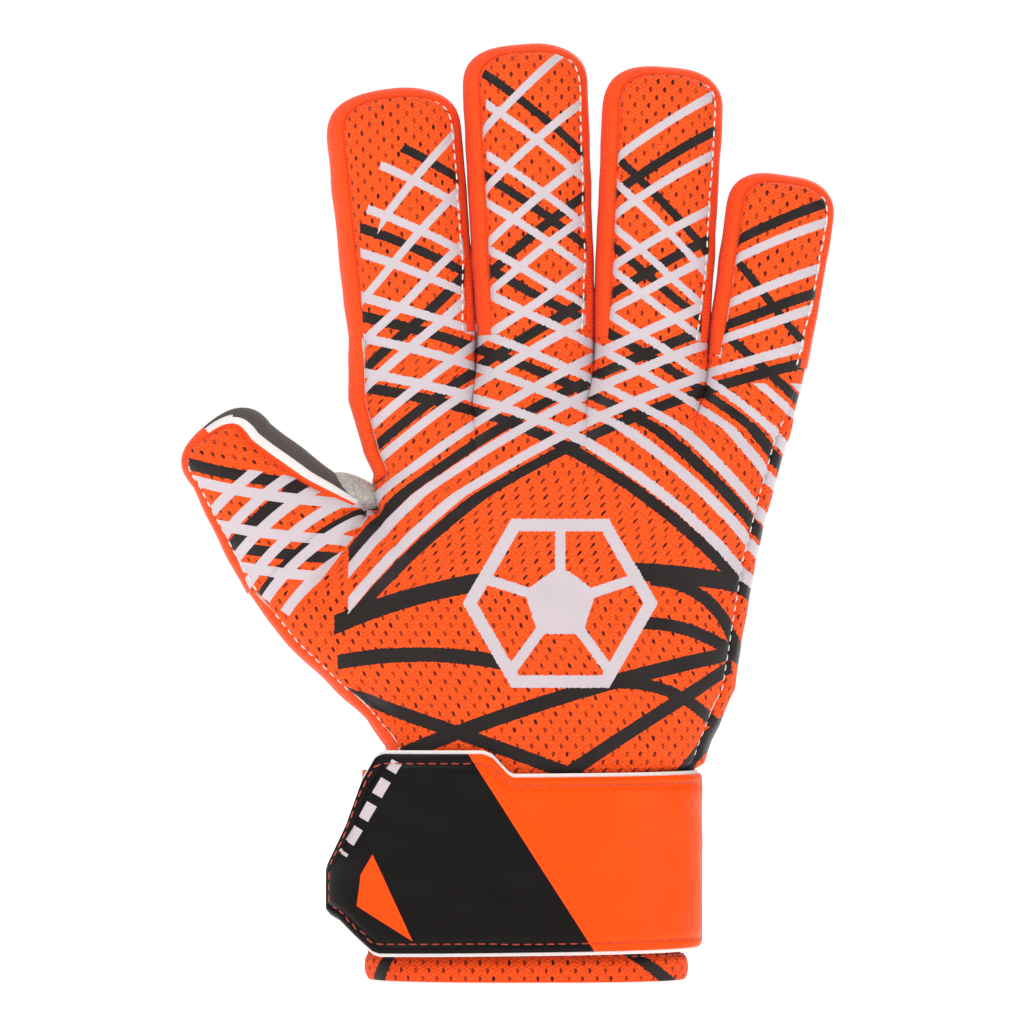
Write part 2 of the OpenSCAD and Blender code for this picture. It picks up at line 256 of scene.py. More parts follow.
def border(grid, sides):
    """The grid's edge points on the named sides: l and r are its first and last row, b and t its columns."""
    rows = {"l": grid[0], "r": grid[-1], "b": grid[:, 0], "t": grid[:, -1]}
    return np.concatenate([rows[s] for s in sides])


def gap_to(points, line):
    """Distance from each point of a grid to the nearest of the line's points."""
    flat = points.reshape(-1, 3).astype(np.float32)
    line = line.astype(np.float32)
    squares = (flat ** 2).sum(1)[:, None] + (line ** 2).sum(1)[None] - 2 * flat @ line.T
    return np.sqrt(np.maximum(squares.min(1), 0)).reshape(points.shape[:2])


def waves(grid, height):
    """Soft waves in the fabric: a sum of four sines along slanted directions, 11 to 37 mm long."""
    x, y, z = np.moveaxis(grid, -1, 0)
    total = (np.sin(x / 5.9 + z / 3.1 + y / 7) + np.sin(x / 2.7 - z / 4.6 + 1.3)
             + np.sin(z / 1.8 + x / 6.5 + 2.1) * 0.6 + np.sin(z / 2.6 - x / 3.6 + 0.4) * 0.7)
    return height * total / 3.3


def arc_length(grid, axis):
    """Distance along one way of a grid, from its first point, measured on the surface."""
    steps = np.linalg.norm(np.diff(grid, axis=axis), axis=-1)
    pad = np.zeros_like(np.take(steps, [0], axis=axis))
    return np.concatenate([pad, np.cumsum(steps, axis=axis)], axis=axis)


def new_object(name, points, faces, maps=(), marks=None):
    """A mesh object at the origin from points in mm, quads or triangles, UV maps per point and face
    materials.
    """
    mesh = bpy.data.meshes.new(name)
    mesh.vertices.add(len(points))
    mesh.vertices.foreach_set("co", (points * MM).astype(np.float32).ravel())
    corners = faces.shape[1]
    mesh.loops.add(faces.size)
    mesh.loops.foreach_set("vertex_index", faces.astype(np.int32).ravel())
    mesh.polygons.add(len(faces))
    mesh.polygons.foreach_set("loop_start", np.arange(len(faces), dtype=np.int32) * corners)
    mesh.polygons.foreach_set("use_smooth", np.ones(len(faces), dtype=bool))
    if marks is not None:
        mesh.polygons.foreach_set("material_index", marks.astype(np.int32))
    for title, values in maps:
        layer = mesh.uv_layers.new(name=title)
        layer.data.foreach_set("uv", (values[faces.ravel()] * MM).astype(np.float32).ravel())
    mesh.update()
    mesh.validate()
    mesh.set_sharp_from_angle(angle=math.radians(55))
    piece = bpy.data.objects.new(name, mesh)
    bpy.context.scene.collection.objects.link(piece)
    return piece


def shell_faces(nu, nv, way, outer_mark):
    """Quads of a closed shell between two grids of nu by nv points, and each face's material number."""
    ids = np.arange(nu * nv).reshape(nu, nv)
    inside = ids + nu * nv

    def strip(a, b, c, d):
        return np.stack([a.ravel(), b.ravel(), c.ravel(), d.ravel()], axis=1)

    top = strip(ids[:-1, :-1], ids[1:, :-1], ids[1:, 1:], ids[:-1, 1:])
    under = strip(inside[:-1, :-1], inside[:-1, 1:], inside[1:, 1:], inside[1:, :-1])
    rims = [strip(ids[1:, 0], ids[:-1, 0], inside[:-1, 0], inside[1:, 0]),
            strip(ids[:-1, -1], ids[1:, -1], inside[1:, -1], inside[:-1, -1]),
            strip(ids[0, :-1], ids[0, 1:], inside[0, 1:], inside[0, :-1]),
            strip(ids[-1, 1:], ids[-1, :-1], inside[-1, :-1], inside[-1, 1:])]
    faces = np.concatenate([top, under] + rims)
    marks = np.full(len(faces), 1)
    marks[:len(top)] = outer_mark.ravel() if outer_mark is not None else 0
    marks[len(top):len(top) + len(under)] = 2
    return (faces if way > 0 else faces[:, ::-1]), marks


def fabric(name, grid, core, thick, raised, materials, weave=None, outer_mark=None, prints=None):
    """A closed panel: the grid raised along its normals, and its inner face a thickness below.

    materials are those of the outside, the cut edge and the inside, then any that outer_mark numbers from 3.
    """
    n, way = normals(grid, core)
    outer = grid + n * np.asarray(raised)[..., None]
    inner = grid - n * thick
    if weave is None:
        weave = np.stack([arc_length(grid, 0), arc_length(grid, 1)], axis=-1)
    if prints is None:
        prints = grid[..., [0, 2]]
    faces, marks = shell_faces(*grid.shape[:2], way, outer_mark)
    maps = [("weave", np.tile(weave.reshape(-1, 2), (2, 1))),
            ("print", np.tile(prints.reshape(-1, 2), (2, 1)))]
    piece = new_object(name, np.concatenate([outer.reshape(-1, 3), inner.reshape(-1, 3)]), faces, maps,
                       marks)
    for material in materials:
        piece.data.materials.append(material)
    return piece, outer, n


def resample(line, step):
    """Points and directions every step along a polyline, from its arc length."""
    run = np.concatenate([[0], np.cumsum(np.linalg.norm(np.diff(line, axis=0), axis=1))])
    at = np.arange(step / 2, run[-1] - step / 3, step)

    def along(t):
        return np.stack([np.interp(t, run, line[:, k]) for k in range(3)], axis=1)

    return along(at), along(at + 0.3) - along(at - 0.3), at / run[-1]


def sew(name, lines, sizes, material, body=None, thread=0.3, sink=0.0, step=None, reach=None):
    """Stitches along lines of (points, normals): each a low capsule of six sides and four rings."""
    step = step or sizes.stitch_step / MM
    reach = reach or sizes.stitch / MM
    ring = np.radians(np.arange(6) * 60)
    along = np.array([-0.5, -0.3, 0.3, 0.5]) * reach
    fat = np.array([0.35, 1, 1, 0.35]) * thread
    shape = np.array([(a, f * math.cos(t), f * math.sin(t)) for a, f in zip(along, fat) for t in ring])
    k = np.arange(6)
    side = np.concatenate([np.stack([r * 6 + k, r * 6 + (k + 1) % 6, r * 6 + 6 + (k + 1) % 6, r * 6 + 6 + k],
                                    1)
                           for r in range(3)])
    caps = np.array([[0, 3, 2, 1], [0, 5, 4, 3], [18, 19, 20, 21], [18, 21, 22, 23]])
    template = np.concatenate([side[:, ::-1], caps[:, ::-1]])
    points, faces = [], []
    count = 0
    for line, up in lines:
        at, way, share = resample(line, step)
        if not len(at):
            continue
        way /= np.linalg.norm(way, axis=1, keepdims=True)
        up = np.stack([np.interp(share, np.linspace(0, 1, len(up)), up[:, k]) for k in range(3)], axis=1)
        across = np.cross(way, up)
        across /= np.linalg.norm(across, axis=1, keepdims=True)
        up = np.cross(across, way)
        base = at + up * (thread * 0.35 - sink)
        block = (base[:, None] + shape[None, :, :1] * way[:, None] + shape[None, :, 1:2] * across[:, None]
                 + shape[None, :, 2:] * up[:, None])
        points.append(block.reshape(-1, 3))
        faces.append((template[None] + (np.arange(len(at)) * 24)[:, None, None]).reshape(-1, 4) + count)
        count += len(at) * 24
    piece = new_object(name, np.concatenate(points), np.concatenate(faces))
    piece.data.materials.append(material)
    if body:
        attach(piece, body)
    return piece


# ---------------------------------------------------------------- materials

class Nodes:
    """The node tree of one material; grow() is the one way in which a node is added."""

    def __init__(self, name):
        self.material = bpy.data.materials.new(name)
        self.material.use_nodes = True
        self.tree = self.material.node_tree
        self.shader = self.tree.nodes["Principled BSDF"]

    def grow(self, kind, *inputs, put=None, out=0, **settings):
        """Add a node, set it, link or fill its inputs and return an output. "Math ADD" names an
        operation too.
        """
        kind, _, operation = kind.partition(" ")
        node = self.tree.nodes.new("ShaderNode" + kind)
        if operation:
            node.operation = operation
        for key, value in settings.items():
            setattr(node, key, value)
        for place, value in {**dict(enumerate(inputs)), **(put or {})}.items():
            if isinstance(value, bpy.types.NodeSocket):
                self.tree.links.new(value, node.inputs[place])
            elif value is not None:
                node.inputs[place].default_value = value
        return node.outputs[out]

    def finish(self, base, rough=0.6, normal=None, **constants):
        """Link colour, roughness and normal to the shader, and set constants on its own sockets."""
        for title, value in (("Base Color", base), ("Roughness", rough), ("Normal", normal)):
            if isinstance(value, bpy.types.NodeSocket):
                self.tree.links.new(value, self.shader.inputs[title])
            elif value is not None:
                self.shader.inputs[title].default_value = value
        for title, value in constants.items():
            self.shader.inputs[title.replace("_", " ")].default_value = value
        return self.material


def rgba(value):
    """A property's colour with full alpha."""
    return tuple(value) + (1.0,)


def shade(value, factor):
    """The same colour darker or lighter by a factor, in linear light."""
    return tuple(min(1.0, c * factor) for c in value) + (1.0,)


def map_mm(n, title):
    """A UV map's place in millimetres, and its two parts."""
    place = n.grow("VectorMath SCALE", n.grow("UVMap", uv_map=title), put={3: 1 / MM})
    split = n.grow("SeparateXYZ", place).node
    return place, split.outputs[0], split.outputs[1]


def union(n, masks):
    """The largest of several masks."""
    total = masks[0]
    for mask in masks[1:]:
        total = n.grow("Math MAXIMUM", total, mask)
    return total


def both(n, *masks):
    """The product of several masks."""
    total = masks[0]
    for mask in masks[1:]:
        total = n.grow("Math MULTIPLY", total, mask)
    return total


def arch_family(n, x, z, centre, radius, start, step, growth, slant, from_z):
    """Arcs of one radius stacked upwards, the i-th raised to start + step i + growth i^2 above their base.

    Above from_z, x is slid by slant * (z - from_z), so the arcs steepen. With root = sqrt(radius^2 -
    (x - centre)^2), gives i at (x, z), and root/radius * (step + 2 growth i), which turns a difference in i
    into
    a distance across the arc.
    """
    slid = n.grow("Math MULTIPLY", n.grow("Math MAXIMUM", 0.0, n.grow("Math SUBTRACT", z, from_z)), slant)
    dx = n.grow("Math SUBTRACT", n.grow("Math ADD", x, slid), centre)
    root = n.grow("Math SQRT", n.grow("Math SUBTRACT", radius ** 2, n.grow("Math MULTIPLY", dx, dx)))
    raised = n.grow("Math SUBTRACT", z, root)
    inside = n.grow("Math MULTIPLY_ADD", raised, 4 * growth, step ** 2 - 4 * growth * start)
    index = n.grow("Math DIVIDE", n.grow("Math SUBTRACT", n.grow("Math SQRT", inside), step), 2 * growth)
    spacing = n.grow("Math MULTIPLY", n.grow("Math MULTIPLY_ADD", index, 2 * growth, step),
                     n.grow("Math DIVIDE", root, radius))
    return index, spacing


def stripes(n, index, spacing, first, every, count, width):
    """Stripes of a width at index = first + every k, for k from 0 to count - 1."""
    k = n.grow("Math DIVIDE", n.grow("Math SUBTRACT", index, first), every)
    off = n.grow("Math ABSOLUTE", n.grow("Math SUBTRACT", k, n.grow("Math ROUND", k)))
    across = n.grow("Math MULTIPLY", n.grow("Math MULTIPLY", off, every), spacing)
    inside = n.grow("Math COMPARE", k, (count - 1) / 2, count / 2 - 0.02)
    return both(n, n.grow("Math LESS_THAN", across, width / 2), inside)


# Dark curves across the hand's back and the hem: centre x and z, radius, width, then the box they are
# kept in
HAND_CURVES = [
    (25, -82, 200, 5.2, -52.5, 70, 80, 130),
    (-28, -30, 124, 4.2, -51.5, 10, 80, 100),
    (36, 60, 43, 3.6, 20, 66, 85, 110),
    (-513, -1344, 1500, 3.8, -49, 40, 50, 90),
    (160, -396, 500, 4.2, -40, 64, 50, 100),
    (30, 50, 36, 3.4, 27, 62, 60, 90),
    (848, -1187, 1500, 3.8, 8, 62, 50, 92),
    (1205, -894, 1500, 3.6, 40, 60, 50, 78),
    (38, 90, 25.5, 3.6, 38, 70, 94, 120),
    (-885, -1178, 1500, 3.2, 20, 50, -5, 12),
    (1346, -574, 1500, 3.2, -50, -20, -5, 12),
]


def back_print(n, sizes):
    """Masks of the light and the dark rubber print over the hand's back, fingers and thumb.

    Two families of arcs cross over the fingers and knuckles, two more over the thumb, and single curves
    over the
    lower hand. A figure of a ball's panels, a pentagon and five spokes in a hexagon, stands in their middle.
    """
    place, x, z = map_mm(n, "print")
    ragged = n.grow("TexNoise", place, put={2: 1.3, 3: 2.0}, noise_dimensions="2D")
    shake = n.grow("Math MULTIPLY_ADD", ragged, 0.7, -0.35)
    xs, zs = n.grow("Math ADD", x, shake), n.grow("Math ADD", z, shake)
    light, dark = sizes.stripe / MM, sizes.dark_stripe / MM

    fall, fall_gap = arch_family(n, xs, zs, -65.9, 172.9, 4.6, 10.15, 0.703, 0.474, 158.9)
    rise, rise_gap = arch_family(n, xs, zs, 122.4, 220.7, -9.75, 12.9, 0.969, -0.317, 139.6)
    lift = n.grow("Math ABSOLUTE", n.grow("Math SUBTRACT", 135, z))
    fold = n.grow("Math MULTIPLY_ADD", lift, -0.77, -41.5)
    thumb = n.grow("Math LESS_THAN", x, fold)
    hand = n.grow("Math SUBTRACT", 1.0, thumb)
    slope = n.grow("Math MAXIMUM", 0.0, n.grow("Math SUBTRACT", -60, x))
    above = n.grow("Math GREATER_THAN", zs, n.grow("Math MULTIPLY_ADD", slope, 0.65, 101.5))

    def start(height, rate):
        """Left ends of the stripes: x over -48.5 + rate (z - height)."""
        climb = n.grow("Math MAXIMUM", 0.0, n.grow("Math SUBTRACT", zs, height))
        return n.grow("Math GREATER_THAN", xs, n.grow("Math MULTIPLY_ADD", climb, rate, -48.5))

    def leave(low_x, over, low):
        """Nothing where x and over are both past their limits."""
        return n.grow("Math SUBTRACT", 1.0, both(n, n.grow("Math GREATER_THAN", x, low_x),
                                                n.grow("Math GREATER_THAN", over, low)))

    bare_tip = both(n, n.grow("Math LESS_THAN", x, -12), n.grow("Math GREATER_THAN", fall, 5.5))
    falling = both(n, stripes(n, fall, fall_gap, 0, 1, 8, light), start(215, 0.4), leave(59, z, 172),
                   n.grow("Math SUBTRACT", 1.0, bare_tip))
    rising = both(n, stripes(n, rise, rise_gap, -2, 1, 9, light), start(195, 0.32), leave(23, rise, 4.5),
                  leave(60, rise, 1.5))
    dark_falling = both(n, stripes(n, fall, fall_gap, -0.45, 2, 5, dark), start(222, 0.9))
    dark_rising = both(n, stripes(n, rise, rise_gap, -2.6, 2, 4, dark), start(182, 0.9))

    over = n.grow("VectorMath DISTANCE", place, (-42, 340, 0), out=1)
    up = n.grow("VectorMath DISTANCE", place, (-20, 75, 0), out=1)
    thumb_light = union(n, [stripes(n, over, 1.0, 202.5, 10.8, 3, light), stripes(n, up, 1.0, 56, 6.9, 6,
                                                                                  light)])
    thumb_dark = union(n, [stripes(n, over, 1.0, 198.2, 20.4, 2, dark), stripes(n, up, 1.0, 48.8, 15.5, 3,
                                                                                dark)])
    thumb_top = n.grow("Math GREATER_THAN", over, 196)

    white = union(n, [both(n, union(n, [falling, rising]), hand, above),
                      both(n, thumb_light, thumb, above, thumb_top)])
    black = union(n, [both(n, union(n, [dark_falling, dark_rising]), hand, above),
                      both(n, thumb_dark, thumb, above, thumb_top)])
    for cx, cz, radius, width, x0, x1, z0, z1 in HAND_CURVES:
        away = n.grow("VectorMath DISTANCE", n.grow("CombineXYZ", xs, zs), (cx, cz, 0), out=1)
        curve = both(n, n.grow("Math COMPARE", away, radius, width / 2),
                     n.grow("Math COMPARE", xs, (x0 + x1) / 2, (x1 - x0) / 2),
                     n.grow("Math COMPARE", zs, (z0 + z1) / 2, (z1 - z0) / 2))
        black = n.grow("Math MAXIMUM", black, curve)

    middle = n.grow("VectorMath SUBTRACT", n.grow("CombineXYZ", xs, zs), (12.4, 108.7, 0))
    parts = n.grow("SeparateXYZ", middle).node
    reach = n.grow("VectorMath LENGTH", middle, out=1)
    turn = n.grow("Math ARCTAN2", parts.outputs[0], parts.outputs[1])
    six = n.grow("Math MULTIPLY", reach, n.grow("Math COSINE", n.grow("Math PINGPONG", turn, math.pi / 6)))
    five = n.grow("Math PINGPONG", turn, math.pi / 5)
    face = n.grow("Math MULTIPLY", reach,
                  n.grow("Math COSINE", n.grow("Math SUBTRACT", math.pi / 5, five)))
    spoke = n.grow("Math LESS_THAN", n.grow("Math MULTIPLY", reach, n.grow("Math SINE", five)), 1.5)
    inside = n.grow("Math LESS_THAN", six, 24.2)
    ring = n.grow("Math COMPARE", six, 22.4, 1.8)
    figure = both(n, inside, union(n, [ring, n.grow("Math LESS_THAN", face, 8.8), spoke]))
    white = n.grow("Math MAXIMUM", white, figure)
    black = both(n, black, n.grow("Math SUBTRACT", 1.0, inside))
    return white, black


def knit(n, sizes, u, v):
    """Airmesh: holes staggered row by row, each an upright ellipse, and scalloped ripples of the yarn.

    Row = floor(v/rise), u shifted half a step on odd rows; hole where (du/0.42)^2 + (dv/0.75)^2 < 1, weaker
    in
    some cells. Ripple = sin(2 pi (v/1.15 + 0.3 sin(2 pi u/2.1))). Gives the holes and the ripple, 0 to 1.
    """
    step, rise = sizes.hole_step / MM, sizes.hole_rise / MM
    row = n.grow("Math FLOOR", n.grow("Math DIVIDE", v, rise))
    shift = n.grow("Math MULTIPLY", row, 0.47)
    cell = n.grow("Math ADD", n.grow("Math DIVIDE", u, step), shift)
    chance = n.grow("TexWhiteNoise", n.grow("CombineXYZ", n.grow("Math FLOOR", cell), row),
                    noise_dimensions="2D")
    jog = n.grow("Math MULTIPLY_ADD", chance, 0.16, -0.58)
    du = n.grow("Math MULTIPLY", n.grow("Math ADD", n.grow("Math FRACT", cell), jog), step / 0.44)
    dv = n.grow("Math MULTIPLY", n.grow("Math SUBTRACT", n.grow("Math FRACT", n.grow("Math DIVIDE", v,
                                                                                     rise)), 0.5),
                rise / 0.78)
    far = n.grow("Math ADD", n.grow("Math MULTIPLY", du, du), n.grow("Math MULTIPLY", dv, dv))
    open_hole = n.grow("Math MULTIPLY", n.grow("Math SUBTRACT", 1.15, far), 3.0, use_clamp=True)
    weak = n.grow("Math MULTIPLY_ADD", chance, 0.5, 0.5)
    hole = n.grow("Math MULTIPLY", open_hole, weak)
    swing = n.grow("Math SINE", n.grow("Math MULTIPLY", u, math.tau / 2.1))
    phase = n.grow("Math MULTIPLY_ADD", v, math.tau / 1.15, n.grow("Math MULTIPLY", swing, 1.9))
    ripple = n.grow("Math MULTIPLY_ADD", n.grow("Math SINE", phase), 0.5, 0.5)
    return hole, ripple


def printed_mesh(sizes, tints):
    """Polyester airmesh with a rubber print: matt yarn with painted shade in the knit's ripples and the yarn
    between them painted a little lighter, holes through to the foam painted dark for the shade inside them,
    smoother raised print.
    """
    n = Nodes("printed_mesh")
    _, u, v = map_mm(n, "weave")
    hole, ripple = knit(n, sizes, u, v)
    white, black = back_print(n, sizes)
    cloth = n.grow("TexNoise", n.grow("CombineXYZ", u, v), put={2: 0.06, 3: 3.0}, noise_dimensions="2D")
    fine = n.grow("TexNoise", n.grow("CombineXYZ", u, v), put={2: 1.1, 3: 2.0}, noise_dimensions="2D")
    dips_and_shade = n.grow("Math MULTIPLY", ripple, n.grow("Math MULTIPLY_ADD", fine, 2.4, -0.45), use_clamp=True)
    # Painted shade and highlight: the yarn runs from 1.08 of the mesh tint between the knit's ripples to
    # 0.42 of it in their dips, which the bump also lowers.
    yarn = n.grow("Mix", n.grow("Math MULTIPLY", dips_and_shade, 0.75),
                  put={6: shade(tints.mesh, 1.08), 7: shade(tints.mesh, 0.42)},
                  out=2, data_type="RGBA")
    yarn = n.grow("Mix", n.grow("Math MULTIPLY", cloth, 0.35), put={6: yarn, 7: shade(tints.mesh, 0.8)},
                  out=2,
                  data_type="RGBA")
    # Painted shade: each hole is painted dark red-brown (#240802) for the shade inside it.
    hole_shaded = n.grow("Mix", hole, put={6: yarn, 7: colour("#240802")}, out=2, data_type="RGBA")
    # Painted shade: the holes show faintly through the dark print, pulling it towards #120B0A.
    faint = n.grow("Math MULTIPLY", hole, 0.12)
    dark_ink_and_shade = n.grow("Mix", faint, put={6: rgba(tints.dark), 7: colour("#120B0A")}, out=2, data_type="RGBA")
    # Painted shade: the light print is darkened a little along the knit's ripples, towards #B9AFB4.
    pale_ink_and_shade = n.grow("Mix", n.grow("Math MULTIPLY", ripple, 0.1),
                      put={6: rgba(tints.light), 7: colour("#B9AFB4")},
                      out=2, data_type="RGBA")
    base = n.grow("Mix", black, put={6: hole_shaded, 7: dark_ink_and_shade}, out=2, data_type="RGBA")
    base = n.grow("Mix", white, put={6: base, 7: pale_ink_and_shade}, out=2, data_type="RGBA")
    ink = n.grow("Math MAXIMUM", white, black)
    bare = n.grow("Math SUBTRACT", 1.0, ink)
    pits = n.grow("Math MULTIPLY", hole, n.grow("Math MULTIPLY_ADD", bare, 0.85, 0.15))
    grain = n.grow("Math MULTIPLY", dips_and_shade, n.grow("Math MULTIPLY_ADD", bare, 0.3, 0.08))
    height = n.grow("Math SUBTRACT", n.grow("Math MULTIPLY", ink, 0.3), n.grow("Math ADD", pits, grain))
    bump = n.grow("Bump", put={0: 0.75, 1: 0.0005, "Height": height})
    rough = n.grow("Math MULTIPLY_ADD", ink, -0.3, 0.78)
    return n.finish(base, rough, bump, Sheen_Weight=0.06, Sheen_Roughness=0.5, Specular_IOR_Level=0.18)


def gusset_mesh(sizes, tints, name="gusset_mesh", tone="gusset"):
    """Fine polyester mesh of the side strips: ribs 1.1 mm apart, small pores painted darker for the shade
    inside them, a soft sheen along the bulge.
    """
    n = Nodes(name)
    _, u, v = map_mm(n, "weave")
    place = n.grow("CombineXYZ", u, v)
    ribs = n.grow("Math MULTIPLY_ADD", n.grow("Math SINE", n.grow("Math MULTIPLY", v, math.tau / 1.1)), 0.5,
                  0.5)
    rows = n.grow("Math MULTIPLY_ADD", n.grow("Math SINE", n.grow("Math MULTIPLY", u, math.tau / 1.3)), 0.5,
                  0.5)
    pore = n.grow("Math POWER", n.grow("Math MULTIPLY", ribs, rows), 3.0)
    cloth = n.grow("TexNoise", place, put={2: 0.12, 3: 4.0}, noise_dimensions="2D")
    main = getattr(tints, tone)
    # Painted shade: the pores are darkened to 0.45 of the strip's tint.
    base = n.grow("Mix", n.grow("Math MULTIPLY", pore, 0.55), put={6: rgba(main), 7: shade(main, 0.45)},
                  out=2,
                  data_type="RGBA")
    base = n.grow("Mix", n.grow("Math MULTIPLY", cloth, 0.3), put={6: base, 7: shade(main, 0.7)}, out=2,
                  data_type="RGBA")
    bump = n.grow("Bump", put={0: 0.5, 1: 0.0003, "Height": n.grow("Math SUBTRACT", ribs, pore)})
    return n.finish(base, 0.7, bump, Sheen_Weight=0.1, Specular_IOR_Level=0.18)


def latex_palm(sizes, tints):
    """Latex foam, cast and split: matt, grippy skin with fine cells and faint clouding where it is
    handled.
    """
    n = Nodes("latex_palm")
    place = n.grow("TexCoord", out=3)
    cells = n.grow("TexVoronoi", place, put={2: 900.0})
    cloud = n.grow("TexNoise", place, put={2: 60.0, 3: 4.0})
    fine = n.grow("TexNoise", place, put={2: 1500.0, 3: 2.0})
    tone = n.grow("Math MULTIPLY_ADD", cloud, 0.6, n.grow("Math MULTIPLY", fine, 0.35))
    base = n.grow("Mix", tone, put={6: shade(tints.latex, 0.7), 7: shade(tints.latex, 1.35)}, out=2,
                  data_type="RGBA")
    bump = n.grow("Bump", put={0: 0.5, 1: 0.0003, "Height": n.grow("Math ADD", cells, fine)})
    return n.finish(base, 0.85, bump, Specular_IOR_Level=0.3)


def cut_foam(sizes, tints):
    """Cut edge of open-cell foam on a white knit: soft, slightly grubby, with a fine grain."""
    n = Nodes("cut_foam")
    place = n.grow("TexCoord", out=3)
    cells = n.grow("TexNoise", place, put={2: 1400.0, 3: 3.0})
    stain = n.grow("TexNoise", place, put={2: 90.0, 3: 3.0})
    tone = n.grow("Math MULTIPLY_ADD", cells, 0.35, n.grow("Math MULTIPLY", stain, 0.35))
    base = n.grow("Mix", tone, put={6: rgba(tints.foam), 7: shade(tints.foam, 0.62)}, out=2,
                  data_type="RGBA")
    bump = n.grow("Bump", put={0: 0.5, 1: 0.0004, "Height": cells})
    return n.finish(base, 0.9, bump, Specular_IOR_Level=0.2)


def towelling(sizes, tints, name="lining_towel", tone="lining"):
    """Looped knit of the lining: soft grey, with a small pebbled pile."""
    n = Nodes(name)
    place = n.grow("TexCoord", out=3)
    loops = n.grow("TexVoronoi", place, put={2: 1100.0})
    cloud = n.grow("TexNoise", place, put={2: 120.0, 3: 4.0})
    main = getattr(tints, tone)
    tone = n.grow("Math MULTIPLY_ADD", loops, 0.6, n.grow("Math MULTIPLY", cloud, 0.5))
    base = n.grow("Mix", tone, put={6: shade(main, 1.1), 7: shade(main, 0.5)}, out=2, data_type="RGBA")
    bump = n.grow("Bump", put={0: 0.7, 1: 0.0005, "Height": loops})
    return n.finish(base, 0.95, bump, Sheen_Weight=0.3, Specular_IOR_Level=0.2)


def rib_knit(sizes, tints, name="cuff_rib_knit", tone="knit", pitch=1.6):
    """Rib knit: upright columns of stitches, with slanted loops in each, their raised parts painted lighter
    and their low parts darker as painted highlight and shade.
    """
    n = Nodes(name)
    _, u, v = map_mm(n, "weave")
    rib = n.grow("Math MULTIPLY_ADD", n.grow("Math SINE", n.grow("Math MULTIPLY", u, math.tau / pitch)), 0.5,
                 0.5)
    lean = n.grow("Math MULTIPLY_ADD", v, math.tau / 1.2, n.grow("Math MULTIPLY", rib, 2.4))
    loops = n.grow("Math MULTIPLY_ADD", n.grow("Math SINE", lean), 0.5, 0.5)
    height = n.grow("Math MULTIPLY_ADD", loops, 0.35, rib)
    main = getattr(tints, tone)
    # Painted highlight and shade: the colour runs from 0.45 of the tint in the low parts to 1.9 of it on the
    # raised ribs and loops, following the bump's height.
    base = n.grow("Mix", n.grow("Math MULTIPLY", height, 0.7),
                  put={6: shade(main, 0.45), 7: shade(main, 1.9)},
                  out=2, data_type="RGBA")
    bump = n.grow("Bump", put={0: 0.7, 1: 0.0006, "Height": height})
    return n.finish(base, 0.88, bump, Sheen_Weight=0.3, Specular_IOR_Level=0.25)


def coated_cover(sizes, tints):
    """Polyurethane-coated textile of the strap: satin, a fine leather grain, printed orange and black.

    Black lies left of the line from (-13.5, 65) to (22.5, 8.6); in it stand an orange wedge and four plain
    bars.
    """
    n = Nodes("coated_cover")
    _, x, z = map_mm(n, "print")
    side = n.grow("Math MULTIPLY_ADD", z, 0.638, n.grow("Math SUBTRACT", x, 28.0))
    dark = n.grow("Math LESS_THAN", side, 0.0)
    left = n.grow("Math GREATER_THAN", n.grow("Math MULTIPLY_ADD", z, -0.12, x), -48.2)
    low = n.grow("Math GREATER_THAN", n.grow("Math MULTIPLY_ADD", x, 0.62, z), -6.3)
    right = n.grow("Math LESS_THAN", n.grow("Math MULTIPLY_ADD", z, 0.46, x), -24.1)
    top = n.grow("Math LESS_THAN", n.grow("Math MULTIPLY_ADD", x, -1.7, z), 106.5)
    wedge = both(n, left, low, right, top)
    along = n.grow("Math MULTIPLY_ADD", x, 0.5, n.grow("Math MULTIPLY", z, 0.87))
    across = n.grow("Math MULTIPLY_ADD", x, 0.87, n.grow("Math MULTIPLY", z, -0.5))
    bars = both(n, n.grow("Math COMPARE", across, -61.5, 1.6),
                n.grow("Math COMPARE", along, 22.5, 15.5),
                n.grow("Math GREATER_THAN", n.grow("Math FRACT", n.grow("Math DIVIDE", along, 8.0)), 0.36))
    grain = n.grow("TexVoronoi", n.grow("TexCoord", out=3), put={2: 1500.0}, feature="SMOOTH_F1")
    fine = n.grow("TexNoise", n.grow("TexCoord", out=3), put={2: 700.0, 3: 4.0})
    soft = n.grow("TexNoise", n.grow("TexCoord", out=3), put={2: 45.0, 3: 2.0})
    night = n.grow("Mix", fine, put={6: shade(tints.strap_dark, 0.7), 7: shade(tints.strap_dark, 1.5)},
                   out=2,
                   data_type="RGBA")
    bright = n.grow("Mix", n.grow("Math MULTIPLY", fine, 0.35),
                    put={6: rgba(tints.strap), 7: shade(tints.strap, 0.75)},
                    out=2, data_type="RGBA")
    base = n.grow("Mix", both(n, dark, n.grow("Math SUBTRACT", 1.0, wedge)), put={6: bright, 7: night},
                  out=2,
                  data_type="RGBA")
    base = n.grow("Mix", bars, put={6: base, 7: rgba(tints.light)}, out=2, data_type="RGBA")
    bump = n.grow("Bump", put={0: 0.25, 1: 0.0002, "Height": n.grow("Math ADD", grain, fine)})
    rough = n.grow("Math MULTIPLY_ADD", soft, 0.2, 0.34)
    return n.finish(base, rough, bump, Specular_IOR_Level=0.12)


def thread(code, name):
    """Twisted polyester sewing thread: fine slanted strands."""
    n = Nodes(name)
    twist = n.grow("TexNoise", n.grow("TexCoord", out=3), put={2: 2500.0, 3: 2.0})
    base = n.grow("Mix", n.grow("Math MULTIPLY", twist, 0.6),
                  put={6: colour(code), 7: shade(colour(code)[:3], 0.5)},
                  out=2, data_type="RGBA")
    return n.finish(base, 0.6, n.grow("Bump", put={0: 0.4, 1: 0.0001, "Height": twist}), Sheen_Weight=0.2)


